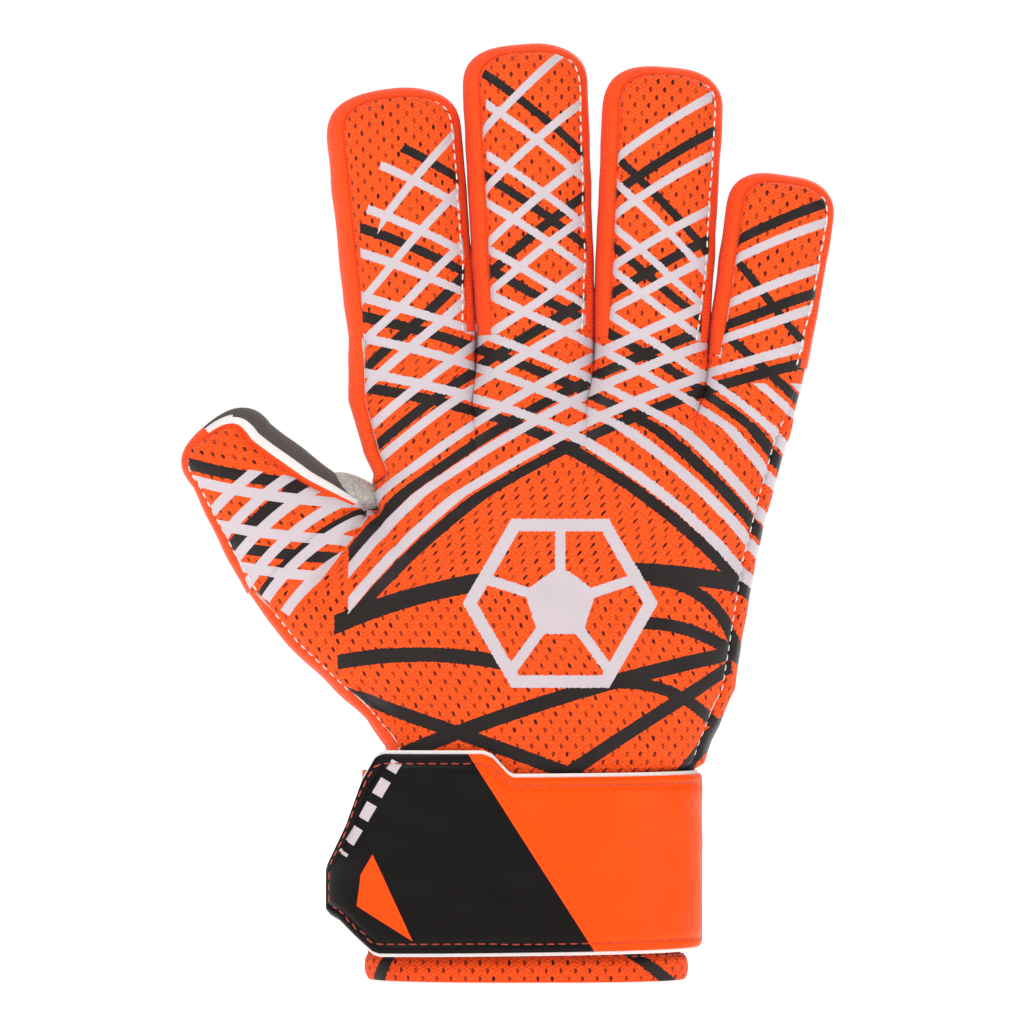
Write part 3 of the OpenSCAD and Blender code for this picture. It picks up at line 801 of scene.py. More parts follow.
def tape(name, code, scale, depth_mm, rough=0.9, dots=False):
    """Hook or loop tape and the label: a ground colour with small tufts, hooks or threads on it."""
    n = Nodes(name)
    place = n.grow("TexCoord", out=3)
    tufts = n.grow("TexVoronoi", place, put={2: scale, "Randomness": 0.15 if dots else 1.0})
    haze = n.grow("TexNoise", place, put={2: scale * 1.7, 3: 3.0})
    tone = n.grow("Math MULTIPLY_ADD", tufts, 0.7, n.grow("Math MULTIPLY", haze, 0.4))
    base = n.grow("Mix", tone, put={6: shade(colour(code)[:3], 1.4), 7: shade(colour(code)[:3], 0.4)}, out=2,
                  data_type="RGBA")
    bump = n.grow("Bump", put={0: 0.8, 1: depth_mm * MM, "Height": tufts})
    return n.finish(base, rough, bump, Specular_IOR_Level=0.3)


def paper_white(name, code, rough=0.95):
    """Matt studio paper, with the faint mottling of its fibres."""
    n = Nodes(name)
    fibres = n.grow("TexNoise", n.grow("TexCoord", out=3), put={2: 40.0, 3: 5.0})
    base = n.grow("Mix", n.grow("Math MULTIPLY", fibres, 0.04), put={6: colour(code), 7: colour("#F2F2F2")},
                  out=2,
                  data_type="RGBA")
    return n.finish(base, rough, Specular_IOR_Level=0.1, Emission_Color=colour("#FFFFFF"),
                    Emission_Strength=0.76)


FINISHES = {
    "printed": printed_mesh, "gusset": gusset_mesh, "latex": latex_palm, "foam": cut_foam,
    "lining": towelling,
    "rib": rib_knit, "coated": coated_cover,
    "elastic": lambda s, t: rib_knit(s, t, "wrist_elastic_web", "knit", 2.4),
    "pale_thread": lambda s, t: thread("#E4DEDB", "pale_thread"),
    "red_thread": lambda s, t: thread("#B83412", "red_thread"),
    "dark_thread": lambda s, t: thread("#2A2222", "dark_thread"),
    "loop": lambda s, t: tape("loop_tape", "#262222", 1300.0, 0.5),
    "hook": lambda s, t: tape("hook_tape", "#4A4644", 650.0, 0.5, 0.5, True),
    "label": lambda s, t: tape("satin_label", "#DAD7D2", 2200.0, 0.1, 0.5),
    "paper": lambda s, t: paper_white("studio_paper", "#FFFFFF"),
}
MADE = {}


def finish_of(key):
    """The material of that key, made the first time it is asked for."""
    if key not in MADE:
        scene = bpy.context.scene
        MADE[key] = FINISHES[key](scene.glove_sizes, scene.glove_colours)
    return MADE[key]


# ---------------------------------------------------------------- digits

def grid_of(nu, nv):
    """Parameters u down the rows and v along the columns, 0 to 1."""
    return np.linspace(0, 1, nu)[:, None], np.linspace(0, 1, nv)[None, :]


def panel_lower(d, side, step):
    """Panel of the digit's lower half: r from seam to seam, p from the base (thumb: 1.5 mm under it) to
    the split.
    """
    u, v = grid_of(int(2 * d.base / step), int(d.split / step))
    low = -1.5 if d.name == "thumb" else 0.0
    p = mix(low, d.split, v) + 0 * u
    r = mix(-d.seam(side, 0 * p, p), d.seam(side, 0 * p + 180, p), u)
    return r, p


def panel_upper(d, side, step):
    """Panel of the upper half: a Coons patch between the split, the two flanks and the fingertip's arch."""
    nv = int((d.reach - d.split) / step)
    u, v = grid_of(int(2 * d.base / step), nv)
    flank = 0.66
    rise = np.clip(v / flank, 0, 1)
    p_flank = mix(d.split, d.cap_from, rise)
    turn = 45 * np.clip((v - flank) / (1 - flank), 0, 1)

    def edge(angle):
        r, p = d.arch(d.seam(side, angle, d.cap_from), angle)
        straight = d.seam(side, 0 * angle + (180 if angle.max() > 90 else 0), p_flank)
        return (np.where(v < flank, np.sign(angle.max() - 90) * straight, r),
                np.where(v < flank, p_flank, p))

    left, right = edge(turn), edge(180 - turn)
    top_angle = mix(45.0, 135.0, u)
    top = d.arch(d.seam(side, top_angle, d.cap_from), top_angle)
    low_left, low_right = left[0][0, 0], right[0][0, 0]
    bottom = (mix(low_left, low_right, u), d.split + 0 * u)
    out = []
    for k in (0, 1):
        corners = ((1 - v) * mix(bottom[k][0, 0], bottom[k][-1, 0], u) + v * mix(top[k][0, 0], top[k][-1, 0],
                                                                                 u))
        out.append((1 - v) * bottom[k] + v * top[k] + (1 - u) * left[k] + u * right[k] - corners)
    return out


def strip_turn(d, u, angle, p):
    """Share of the outline and height on a strip: with c = seam^(n/2), share = cos(t)^(2/n), y = depth
    sin(t)^(2/n).
    """
    back = np.arccos(d.seam(BACK, angle, p) ** (ROUND / 2))
    palm = np.arccos(d.seam(PALM, angle, p) ** (ROUND / 2))
    t = mix(-back, palm, u)
    return np.abs(np.cos(t)) ** (2 / ROUND), d.depth * spow(np.sin(t), 2 / ROUND)


def strip_points(d, angle, share, y, p):
    """Points of a strip: on the flanks q = share * half-width, round the tip on the arch of that share."""
    r_tip, p_tip = d.arch(share, np.clip(angle, 0, 180))
    on_tip = (angle > 0) & (angle < 180)
    r = np.where(on_tip, r_tip, np.where(angle <= 0, -share, share))
    p = np.where(on_tip, p_tip, p)
    return d.place(r * d.half_width(p), p, y), p


def core_of(grid):
    """Points inside a digit or the hand, level with each point of the grid: the same place with y = 0."""
    core = grid.copy()
    core[..., 1] = 0
    centre = core.reshape(-1, 3).mean(0)
    return mix(core, centre, 0.35)


def print_map(d, grid, r, p):
    """Print coordinates of a digit: x and z at rest, with x stretched about the middle line above the
    base.
    """
    q = r * d.half_width(p)
    stretch = 1 + 0.28 * ease(p / 20) * (d.name != "thumb")
    flat = d.place(q * stretch, p, 0 * q)
    return flat[..., [0, 2]]


def weave_map(d, r, p):
    """Weave coordinates: across by the digit's half-width, along by p."""
    q = r * d.half_width(p)
    return np.stack([q * (1 + 0.15 * np.abs(r) ** 3) + d.x, p + d.z], axis=-1)


def sewn_rise(grid, sides, sizes, puff, groove=1.0):
    """How far a panel stands out: drawn in by groove * exp(-(g/1.1)^2) at the seams, crowned by 1 -
    exp(-g/6).
    """
    gap = gap_to(grid, border(grid, sides))
    depth_in = sizes.groove / MM * groove
    return puff * (1 - np.exp(-gap / 6)) - depth_in * bell(gap, 1.1), gap


def joint_creases(d, p, side):
    """Soft folds across the palm side at the knuckle and the middle joint, and a fuller pad between them."""
    fold = bell(p - d.middle, 1.6) + 0.8 * bell(p - d.knuckle, 1.8)
    return -0.7 * fold if side == PALM else -0.12 * fold


def bend(piece, d, upper):
    """Bake a digit's piece into place as it stands; it is not blended over its joint.
    """
    s, c = math.sin(d.lean), math.cos(d.lean)

    def at(p):
        return ((d.x + p * s) * MM, 0.0, (d.z + p * c) * MM)

    if upper:
        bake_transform(piece)
    else:
        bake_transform(piece)


def make_digit(d, sizes):
    """All fabric of one digit: back and palm panels, side strips, and the rows of stitches beside the
    seams.
    """
    step = 0.9
    thick = sizes.panel / MM
    for upper in (False, True):
        part = "upper" if upper else "lower"
        for side, label, key, slot in ((BACK, "back", "printed", "printed_mesh"),
                                       (PALM, "palm", "latex", "latex_palm")):
            r, p = (panel_upper if upper else panel_lower)(d, side, step)
            grid = d.skin(side, r, p)
            puff = sizes.puff / MM if side == BACK else 0.4
            rise, gap = sewn_rise(grid, "lrt" if upper else "lr", sizes, puff)
            blend_in = ease(p / 12) if not upper else 1.0
            rise = rise + waves(grid, sizes.wrinkle / MM) * ease(gap / 4) * (1 if side == BACK else 0.5)
            rise = rise + joint_creases(d, p, side) * ease(gap / 3)
            rise = rise * blend_in if d.name == "thumb" else rise * mix(0.35, 1, blend_in)
            name = f"{d.name}_{label}_{part}_panel"
            panel, outer, n = fabric(name, grid, core_of(grid), thick, rise,
                                     [finish_of(key), finish_of("foam"), finish_of("lining")],
                                     weave_map(d, r, p), None, print_map(d, grid, r, p))
            bend(panel, d, upper)
            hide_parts(f"{d.name}_{label}_{part}")
            if side == BACK:
                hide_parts(f"{d.name}_lining_{part}")
            inset = max(2, int(2.4 / (2 * d.base / len(outer))))
            rows = [-inset - 1] if side == BACK else [inset, -inset - 1]
            if d.name == "thumb":
                rows = [inset]
            lines = [(outer[k], n[k]) for k in rows]
            thread_key = "pale_thread" if side == BACK else "dark_thread"
            seam = sew(f"{d.name}_{label}_{part}_stitches", lines, sizes, finish_of(thread_key), thread=0.26)
            bend(seam, d, upper)
        make_strips(d, upper, sizes, step, thick)


def make_strips(d, upper, sizes, step, thick):
    """Side strips of one half of a digit; the upper one runs up one flank, over the tip and down the
    other.
    """
    u = np.linspace(0, 1, 17)[:, None]
    if upper:
        rise_n = int((d.cap_from - d.split) / step)
        flank = np.linspace(d.split, d.cap_from, rise_n, endpoint=False)
        turn = np.linspace(0, 180, 64)
        angle = np.concatenate([0 * flank, turn, 0 * flank + 180])[None, :]
        p = np.concatenate([flank, 0 * turn + d.cap_from, flank[::-1]])[None, :]
        parts = [("round", angle, p)]
    else:
        p = np.linspace(0, d.split, int(d.split / step))[None, :]
        parts = [("left", 0 * p, p), ("right", 0 * p + 180, p)]
    for label, angle, p in parts:
        share, y = strip_turn(d, u, angle, p)
        wide = angle + 0 * u
        grid, high = strip_points(d, wide, share, y, p + 0 * u)
        across = arc_length(grid, 0)
        gap = np.minimum(across, across[-1:] - across)
        half = across[-1:] / 2
        rise = (sizes.bulge / MM * (1 - (1 - gap / half) ** 2) - sizes.groove / MM * bell(gap, 1.1))
        rise = rise + waves(grid, 0.2) * ease(gap / 3)
        low = ease(high / 12)
        rise = rise * (low if d.name == "thumb" else mix(0.35, 1, low))
        mark = None
        materials = [finish_of("gusset"), finish_of("foam"), finish_of("lining")]
        if d.name == "thumb":
            materials += [finish_of("latex"), finish_of("foam")]
            on_right = (wide[:-1, :-1] > 88) & (across[:-1, :-1] > 0)
            white = on_right & (across[:-1, :-1] < 3.2)
            mark = np.where(white, 4, np.where(on_right, 3, 0))
        weave = np.stack([across, arc_length(grid, 1)], axis=-1)
        part = "upper" if upper else "lower"
        name = f"{d.name}_gusset_{part}" + ("" if upper else "_" + label)
        strip, _, _ = fabric(name, grid, core_of(grid), thick, rise, materials, weave, mark)
        bend(strip, d, upper)
        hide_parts(f"{d.name}_sides_{part}")


# ---------------------------------------------------------------- the hand

CREASES = [  # folds of the hand's back: points (x, z), depth, width
    ([(-41.8, 135.5), (-46, 128.5), (-51.5, 120.5), (-57.5, 113.5), (-62, 108)], 2.6, 2.6),
    ([(-42.5, 133.0), (-38, 128), (-33.5, 124.5), (-28, 122.0)], 0.7, 2.2),
    ([(-51.0, 79.0), (-44, 80.5), (-37.0, 77.0), (-33, 71)], 1.0, 2.4),
    ([(-46, 70), (-38, 71.5), (-33, 67)], 0.8, 2.0),
    ([(64, 66), (58, 75), (56, 84)], 0.7, 2.5),
]


def top_columns(side, count):
    """Columns of the hand's top edge: (finger, r) from the index finger's outer seam to the little
    finger's.
    """
    columns = []
    for k, d in enumerate(FINGERS):
        low = -float(d.seam(side, 0.0, 0.0)) if k == 0 else -1.0
        high = float(d.seam(side, 180.0, 0.0)) if k == 3 else 1.0
        r = np.sin(np.linspace(math.asin(low), math.asin(high), count))
        columns.append(np.stack([np.full(count, k), r], axis=1)[0 if k == 0 else 1:])
    return np.concatenate(columns)


def hand_grid(side, low_z, count, rows):
    """The hand's skin: columns from panel_left to the outer seam, rows from low_z up to the fingers' bases.

    x runs between the two edges by a share that is even at the wrist and follows the finger columns at the
    top;
    y is the hand's height, eased into the four fingers' own rims above z = 150.
    """
    columns = top_columns(side, count)
    finger = columns[:, 0].astype(int)
    r = columns[:, 1]
    base = np.array([[d.x, d.z, math.sin(d.lean), math.cos(d.lean), d.base,
                      d.depth] for d in FINGERS])[finger]
    top_x = base[:, 0] + r * base[:, 4] * base[:, 3]
    top_z = base[:, 1] - r * base[:, 4] * base[:, 2]
    top_h = base[:, 5] * rim(r)
    at = (top_x - top_x[0]) / (top_x[-1] - top_x[0])
    even = np.linspace(-1, 1, len(at))
    low_at = (1 + np.sin(np.radians(75) * even) / math.sin(math.radians(75))) / 2
    t = np.linspace(0, 1, rows)
    z = low_z + (top_z[:, None] - low_z) * t[None, :]
    edge_seam = 2.6 if side == BACK else 3.6
    left = np.where(t == 1, top_x[0], panel_left(z))
    right = np.where(t == 1, top_x[-1], body_right(z) - edge_seam)
    near = ease((z - 60) / 115)
    share = mix(low_at[:, None], at[:, None], near)
    x = mix(left, right, share)
    settle = ease((z - 150) / (top_z[:, None] - 150))
    blend_x = ease((t[None, :] - 0.82) / 0.18)
    x = mix(x, top_x[:, None] + 0 * z, blend_x * (near > 0.9))
    height = mix(hand_height(side, x, z), top_h[:, None] + 0 * z, settle)
    return np.stack([x, side * height, z], axis=-1)


def crease_depth(grid):
    """Depth drawn in along the folds: the fold's depth * exp(-(g/width)^2), fading over its last third."""
    total = np.zeros(grid.shape[:2])
    t = np.linspace(0, 1, 60)
    for points, deep, width in CREASES:
        way = np.array(points, float)
        knots = np.linspace(0, 1, len(way))
        x, z = np.interp(t, knots, way[:, 0]), np.interp(t, knots, way[:, 1])
        fade = np.clip((1 - t) / 0.35, 0, 1)
        squares = (grid[..., 0, None] - x) ** 2 + (grid[..., 2, None] - z) ** 2
        total = np.maximum(total, (deep * fade * np.exp(-squares / width ** 2)).max(-1))
    return total


def hand_weave(grid):
    """Weave coordinates of the hand: distance along the surface from the middle column, and z."""
    run = arc_length(grid, 0)
    return np.stack([run - run[len(run) // 2], grid[..., 2]], axis=-1)


def make_hand(sizes):
    """The hand's back and palm panels, its two edge strips and the tuck of lining at the thumb's crotch."""
    thick = sizes.panel / MM
    for side, label, key in ((BACK, "back", "printed"), (PALM, "palm", "latex")):
        grid = hand_grid(side, 58.5, 46, 128)
        outline = border(grid, "lr")
        keep = (outline[:, 2] < 111) | (outline[:, 2] > 144) | (outline[:, 0] > 0)
        gap = gap_to(grid, outline[keep])
        calm = ease((184 - grid[..., 2]) / 14)
        rise = sizes.puff / MM * (1 - np.exp(-gap / 7)) * mix(0.35, 1, calm)
        rise = rise - sizes.groove / MM * bell(gap, 1.1)
        rise = rise + 1.5 * sizes.wrinkle / MM * waves(grid, 1.0) * ease(gap / 5) * calm
        if side == BACK:
            rise = rise - crease_depth(grid)
        else:
            seam_line = bell(np.hypot(grid[..., 0] + 20 + 0.25 * (grid[..., 2] - 90), 0), 1.0)
            rise = rise - 0.6 * seam_line * ease((grid[..., 2] - 62) / 6) * ease((150 - grid[..., 2]) / 10)
        panel, outer, n = fabric(f"hand_{label}_panel", grid, core_of(grid), thick, rise,
                                 [finish_of(key), finish_of("foam"), finish_of("lining")], hand_weave(grid))
        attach(panel, "hand")
        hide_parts(f"hand_{label}")
        if side == BACK:
            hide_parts("hand_lining")
        low = outer[2, :, 2] < 108
        lines = [(outer[-3, 6:-14], n[-3, 6:-14]), (outer[2][low][4:], n[2][low][4:])]
        sew(f"hand_{label}_stitches", lines, sizes,
            finish_of("pale_thread" if side == BACK else "dark_thread"),
            "hand", thread=0.26)
    make_edges(sizes, thick)
    make_tuck(sizes)


def edge_strip(name, heights, outline, way, top_h, thick, sizes, back_in, palm_in):
    """A strip along the hand's edge from the back panel to the palm panel, rounded over the outline.

    k runs from -1, back, to 1, palm: x = outline - way * inset * |k|^3, y = k * height at the panel's edge.
    """
    k = np.linspace(-1, 1, 21)[:, None]
    z = np.linspace(heights[0], heights[1], int((heights[1] - heights[0]) / 0.9))[None, :]
    inset = np.where(k < 0, back_in, palm_in)
    edge_x = outline(z) - way * inset
    side_h = np.where(k < 0, hand_height(BACK, edge_x, z), hand_height(PALM, edge_x, z))
    side_h = mix(side_h, top_h, ease((z - 148) / 36))
    x = mix(outline(z) + 0 * k, edge_x, np.abs(k) ** 3)
    grid = np.stack([x, side_h * k, z + 0 * k], axis=-1)
    across = arc_length(grid, 0)
    gap = np.minimum(across, across[-1:] - across)
    rise = (0.8 * sizes.bulge / MM * (1 - (1 - 2 * gap / across[-1:]) ** 2) - sizes.groove / MM * bell(gap,
                                                                                                       1.1)
            + waves(grid, 0.35) * ease(gap / 3))
    end, settled = (heights[1], 0.35) if heights[1] > 120 else (112, 0.0)
    rise = rise * mix(1, settled, ease((z - end + 9) / 9))
    core = grid.copy()
    core[..., 0] -= way * 12
    core[..., 1] *= 0.2
    outside = finish_of("gusset" if way < 0 else "printed")
    strip, _, _ = fabric(name, grid, core, thick, rise, [outside, finish_of("foam"), finish_of("lining")],
                         np.stack([across, grid[..., 2]], axis=-1))
    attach(strip, "hand")
    return strip


def make_edges(sizes, thick):
    """Strips along the little-finger edge, below the thumb and below the index finger."""
    outer = edge_strip("hand_outer_edge", (59, 177), body_right, 1, 11.5 * rim(0.86), thick, sizes, 2.6, 3.6)
    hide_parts("hand_side_outer")

    for name, low, high, count, seam in (("hand_thumb_edge", 59, 112.5, 59, 0.84),
                                         ("hand_index_edge", 141, 185, 48, 0.77)):
        z = np.linspace(low, high, count)[None, :]
        inset = panel_left(z) - outline_left(z)
        strip = edge_strip(name, (low, high), outline_left, -1, 12.5 * rim(seam), thick, sizes, inset, inset)
        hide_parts("hand_side_inner")


def make_tuck(sizes):
    """A tuck of grey lining that shows at the thumb's crotch: a folded lump, two thirds of an uneven
    ellipsoid.

    x = cx + a cos(t) s, z = cz + b sin(t) s, y = h (1 - s^2) with folds of 0.8 mm from sin(3t + 4s).
    """
    s, t = np.linspace(1, 0, 16)[:, None], np.linspace(0, math.tau, 41)[None, :]
    folds = 0.8 * np.sin(3 * t + 4 * s) * s * (1 - s)
    x = -47.5 + (8.4 * np.cos(t) + 0.9 * np.cos(2 * t)) * s
    z = 140.6 + (5.4 * np.sin(t) - 0.28 * 8.4 * np.cos(t)) * s
    y = -7.0 * np.sqrt(np.maximum(0, 1 - s ** 2)) - folds
    front = np.stack(np.broadcast_arrays(x, y, z), axis=-1)
    grid = np.concatenate([front[::-1], front[1:] * [1, -1, 1]])[1:-1]
    points = np.concatenate([grid[:, :-1].reshape(-1, 3), [[-47.5, -7, 140.6], [-47.5, 7, 140.6]]])
    nu, nv = grid.shape[0], grid.shape[1] - 1
    ids = np.arange(nu * nv).reshape(nu, nv)
    right = np.roll(ids, -1, axis=1)
    quads = np.stack([ids[:-1].ravel(), ids[1:].ravel(), right[1:].ravel(), right[:-1].ravel()], 1)
    first, last = nu * nv, nu * nv + 1
    fans = np.concatenate([np.stack([ids[0], right[0], np.full(nv, first), np.full(nv, first)], 1),
                           np.stack([right[-1], ids[-1], np.full(nv, last), np.full(nv, last)], 1)])
    edges = points[quads[:, 1]] - points[quads[:, 0]]
    side = points[quads[:, 3]] - points[quads[:, 0]]
    outward = (np.cross(edges, side) * (points[quads[:, 0]] - [-47.5, 0, 140.6])).sum()
    triangles = np.concatenate([quads[:, :3], quads[:, [0, 2, 3]], fans[:, :3]])
    tuck = new_object("thumb_lining_tuck", points, triangles if outward > 0 else triangles[:, ::-1])
    tuck.data.materials.append(finish_of("lining"))
    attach(tuck, "hand")


# ---------------------------------------------------------------- the cuff

def cuff_ring(side, angles, z, out=0.0):
    """Points of the cuff's tube: centre -+ half-width cos(a)^(2/n), side * depth sin(a)^(2/n), moved out
    evenly.
    """
    a = np.radians(angles)
    c, w = (body_left(z) + body_right(z)) / 2, (body_right(z) - body_left(z)) / 2
    x = c - (w + out) * spow(np.cos(a), 2 / ROUND)
    y = side * (depth(side, z) + out) * np.abs(np.sin(a)) ** (2 / ROUND)
    return np.stack(np.broadcast_arrays(x, y, z), axis=-1)


def cuff_piece(name, side, angles, heights, shape, thick, keys, node, step=0.9):
    """A panel of the cuff from one angle and height to another; shape(grid, z) gives how far it stands
    out.
    """
    nu = int(abs(angles[1] - angles[0]) * 0.75 / step)
    u, v = grid_of(nu, int((heights[1] - heights[0]) / step))
    grid = cuff_ring(side, mix(angles[0], angles[1], u), mix(heights[0], heights[1], v))
    run = arc_length(grid, 0)
    weave = np.stack([run - run[len(run) // 2], grid[..., 2]], axis=-1)
    piece, _, _ = fabric(name, grid, core_of(grid), thick, shape(grid, grid[..., 2]),
                         [finish_of(key) for key in keys], weave)
    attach(piece, "hand")
    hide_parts(node)


def make_cuff(sizes):
    """Cuff: mesh back with a rolled hem, ribbed palm side with the entry slit and its insert, elastic,
    loop, label.
    """
    thick = sizes.panel / MM

    def hem(grid, z):
        """A rolled edge 7 mm high: 1.3 mm out at its middle, drawn in at the row of stitches above and
        at the end.
        """
        roll = np.sqrt(np.maximum(0, 1 - ((z - 3.4) / 3.7) ** 2))
        return np.where(z < 7.1, 1.5 * roll - 0.9, -0.9 + 0.9 * ease((z - 7.1) / 2)) + waves(grid, 0.2)

    cuff_piece("cuff_back_panel", BACK, (1.0, 179.0), (0, 60), hem, thick, ("printed", "printed", "lining"),
               "cuff_back")
    slit = 62.0
    half = math.degrees(3.0 / 44)
    for label, a0, a1 in (("thumb_side", 1.0, slit - half), ("little_side", slit + half, 179.0)):
        nu = int((a1 - a0) * 0.8)
        u, v = grid_of(nu, 66)
        z = v * 60 + 0 * u
        close = np.clip(z / 44, 0, 1) * half
        first = a0 if a0 < slit - 10 else a0 - close
        final = a1 if a1 > slit + 10 else a1 + close
        grid = cuff_ring(PALM, mix(first, final, u), z)
        run = arc_length(grid, 0)
        gap = np.minimum(run, run[-1:] - run)
        rise = hem(grid, z) - 0.5 * bell(gap, 1.2)
        panel, _, _ = fabric(f"cuff_palm_{label}", grid, core_of(grid), thick, rise,
                                 [finish_of("rib"), finish_of("rib"), finish_of("lining")],
                                 np.stack([run, z], axis=-1))
        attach(panel, "hand")
        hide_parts("cuff_palm")
        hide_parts("cuff_binding")

    def flat(grid, z):
        """Inside the cuff's wall, with ribs 2.4 mm apart."""
        return -thick - 0.4 + 0.25 * np.sin(grid[..., 0] * 2.6)

    def gathers(grid, z):
        """Gathered over a row of elastic: ripples 3 mm apart, highest at the band's middle."""
        return 0.9 + 0.5 * np.sin(arc_length(grid, 0) * 2.1 + 0.3 * np.sin(z)) * bell(z - 52.5, 5)

    cuff_piece("cuff_slit_insert_web", PALM, (slit - 14, slit + 14), (1, 48), flat, 0.7,
               ("elastic", "elastic", "lining"), "cuff_slit_insert")
    cuff_piece("wrist_elastic_band", PALM, (30, 140), (47, 58), gathers, 1.0,
               ("elastic", "elastic", "elastic"),
               "wrist_elastic", step=0.5)
    cuff_piece("loop_patch_pile", BACK, (38, 84), (12, 56), lambda g, z: 1.0 + waves(g, 0.1), 0.9,
               ("loop", "loop", "loop"), "loop_patch")
    cuff_piece("size_label_tape", BACK, (80, 100), (22, 40), lambda g, z: -thick - 0.9 + 0.1 * np.sin(z / 2),
               0.3,
               ("label", "label", "label"), "size_label")
    rows = []
    for side in (BACK, PALM):
        grid = cuff_ring(side, np.linspace(4, 176, 120)[:, None], np.array([[7.3, 7.35]]), -0.55)
        n, _ = normals(grid, core_of(grid))
        rows.append((grid[:, 0], n[:, 0]))
    sew("cuff_hem_stitches", rows, sizes, finish_of("red_thread"), "hand", thread=0.28)


# ---------------------------------------------------------------- the strap

STRAP_X, STRAP_RIGHT, STRAP_LEFT, STRAP_DEPTH = 1.6, 48.9, 55.1, 25.4
STRAP_TOP = ([-57, -55.5, -54.3, -49.4, -44.6, -40.6, -38.5, -9.6, -7, -2.6, -1, 55],
             [28, 31, 35.2, 45.4, 58.6, 65.6, 66.6, 66.7, 65.6, 60.9, 60.0, 60.4])
STRAP_LOW = ([-57, -55.5, -53.9, -51, -46.6, -41.5, -39.5, 55], [22, 19.5, 18.0, 16.6, 12.4, 8.0, 7.4, 8.6])


def strap_line(count):
    """(x, y) along the whole band from right to left and its outward normal, at even distances, and those.

    x = centre + half-width cos(a)^(2/n), y = -depth sin(a)^(2/n), the half-width larger left of the peel
    line.
    """
    a = np.radians(np.linspace(0.8, 168, 900))
    x = STRAP_X + np.where(np.cos(a) > 0, STRAP_RIGHT, STRAP_LEFT) * spow(np.cos(a), 2 / ROUND)
    y = -STRAP_DEPTH * np.abs(np.sin(a)) ** (2 / ROUND)
    run = np.concatenate([[0], np.cumsum(np.hypot(np.diff(x), np.diff(y)))])
    even = np.linspace(0, run[-1], count)
    x, y = np.interp(even, run, x), np.interp(even, run, y)
    tx, ty = np.gradient(x), np.gradient(y)
    size = np.hypot(tx, ty)
    nx, ny = ty / size, -tx / size
    turn = np.where((nx * (x - STRAP_X) + ny * y) > 0, 1, -1)
    return x, y, nx * turn, ny * turn, even


def strap_sheet(out, margin, rows, count):
    """A sheet of the strap at a distance out from the band, its outline drawn in by a margin."""
    x, y, nx, ny, run = strap_line(count)
    px, py = x + nx * out, y + ny * out
    top, low = np.interp(px, *STRAP_TOP) - margin, np.interp(px, *STRAP_LOW) + margin
    z = mix(low[:, None], top[:, None], np.linspace(0, 1, rows)[None, :])
    return np.stack(np.broadcast_arrays(px[:, None], py[:, None], z), axis=-1), run


def peel(piece):
    """Bake a piece of the strap into place as it stands; it is not blended over its peel line."""
    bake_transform(piece)


def make_strap(sizes):
    """Wrist strap over its peel line: coated cover, white foam that shows at its edges, stitches; then
    its tapes.
    """
    for layer, out, thick, margin, key, slot in (("foam", 2.15, 2.1, 0.0, "foam", "white_foam"),
                                                 ("cover", 2.6, 0.6, 1.0, "coated", "coated_strap")):
        grid, run = strap_sheet(out, margin, 64, 168)
        gap = gap_to(grid, border(grid, "lrbt"))
        if layer == "cover":
            rise = 0.85 * (1 - np.exp(-gap / 1.1)) - 0.75 * bell(gap - 2.7, 0.75)
            rise = rise + waves(grid, 0.22) * ease(gap / 6)
        else:
            rise = -0.5 * bell(gap, 0.7)
        weave = np.stack([run[:, None] + 0 * grid[..., 0], grid[..., 2]], axis=-1)
        materials = [finish_of(key), finish_of(key), finish_of("foam" if layer == "cover" else "lining")]
        piece, outer, n = fabric(f"strap_{layer}_sheet", grid, grid * [0.5, 0.2, 1], thick, rise, materials,
                                 weave)
        peel(piece)
        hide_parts(f"strap_{layer}", f"strap_tip_{layer}")
    lines = []
    z = outer[..., 2]
    pick = np.arange(len(z))
    for row, inner in ((0, 2.7), (-1, -2.7)):
        at = np.abs(z - z[:, [row]] - inner).argmin(1)
        lines.append((outer[pick, at][4:-4], n[pick, at][4:-4]))
    lines.append((outer[-5, 12:-12], n[-5, 12:-12]))
    seam = sew("strap_stitches", lines, sizes, finish_of("red_thread"), thread=0.24, sink=0.05, step=3.3,
               reach=2.3)
    peel(seam)
    hook = np.linspace(104, 142, 44)
    a = np.radians(hook)[:, None]
    z = np.linspace(14, 54, 46)[None, :]
    out = -0.1
    grid = np.stack(np.broadcast_arrays(STRAP_X + (STRAP_LEFT + out) * spow(np.cos(a), 2 / ROUND),
                                        -(STRAP_DEPTH + out) * np.abs(np.sin(a)) ** (2 / ROUND), z), axis=-1)
    tape_piece, _, _ = fabric("hook_tape_patch", grid, grid * [0.5, 0.2, 1], 0.8, np.zeros(grid.shape[:2]),
                              [finish_of("hook")] * 3)
    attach(tape_piece, "strap_tip")
    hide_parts("hook_patch")
    a = np.radians(np.linspace(0.6, 44, 50))[:, None]
    z = np.linspace(9.6, 58, 56)[None, :]
    grid = np.stack(np.broadcast_arrays(STRAP_X + (STRAP_RIGHT + 2.2) * spow(np.cos(a), 2 / ROUND),
                                        (STRAP_DEPTH + 2.2) * np.abs(np.sin(a)) ** (2 / ROUND), z), axis=-1)
    gap = gap_to(grid, border(grid, "btr"))
    rise = 0.5 * (1 - np.exp(-gap / 1.2)) - 0.5 * bell(gap - 2.6, 0.8)
    anchor, outer, n = fabric("strap_anchor_sheet", grid, grid * [0.5, 0.2, 1], 2.3, rise,
                              [finish_of("coated"), finish_of("foam"), finish_of("foam")])
    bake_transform(anchor)
    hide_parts("strap_anchor")
    rows = [(outer[4:, 3], n[4:, 3]), (outer[4:, -4], n[4:, -4]), (outer[-4, 4:-4], n[-4, 4:-4])]
    seam = sew("strap_anchor_stitches", rows, sizes, finish_of("red_thread"), thread=0.24, step=3.3,
               reach=2.3)
    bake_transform(seam)


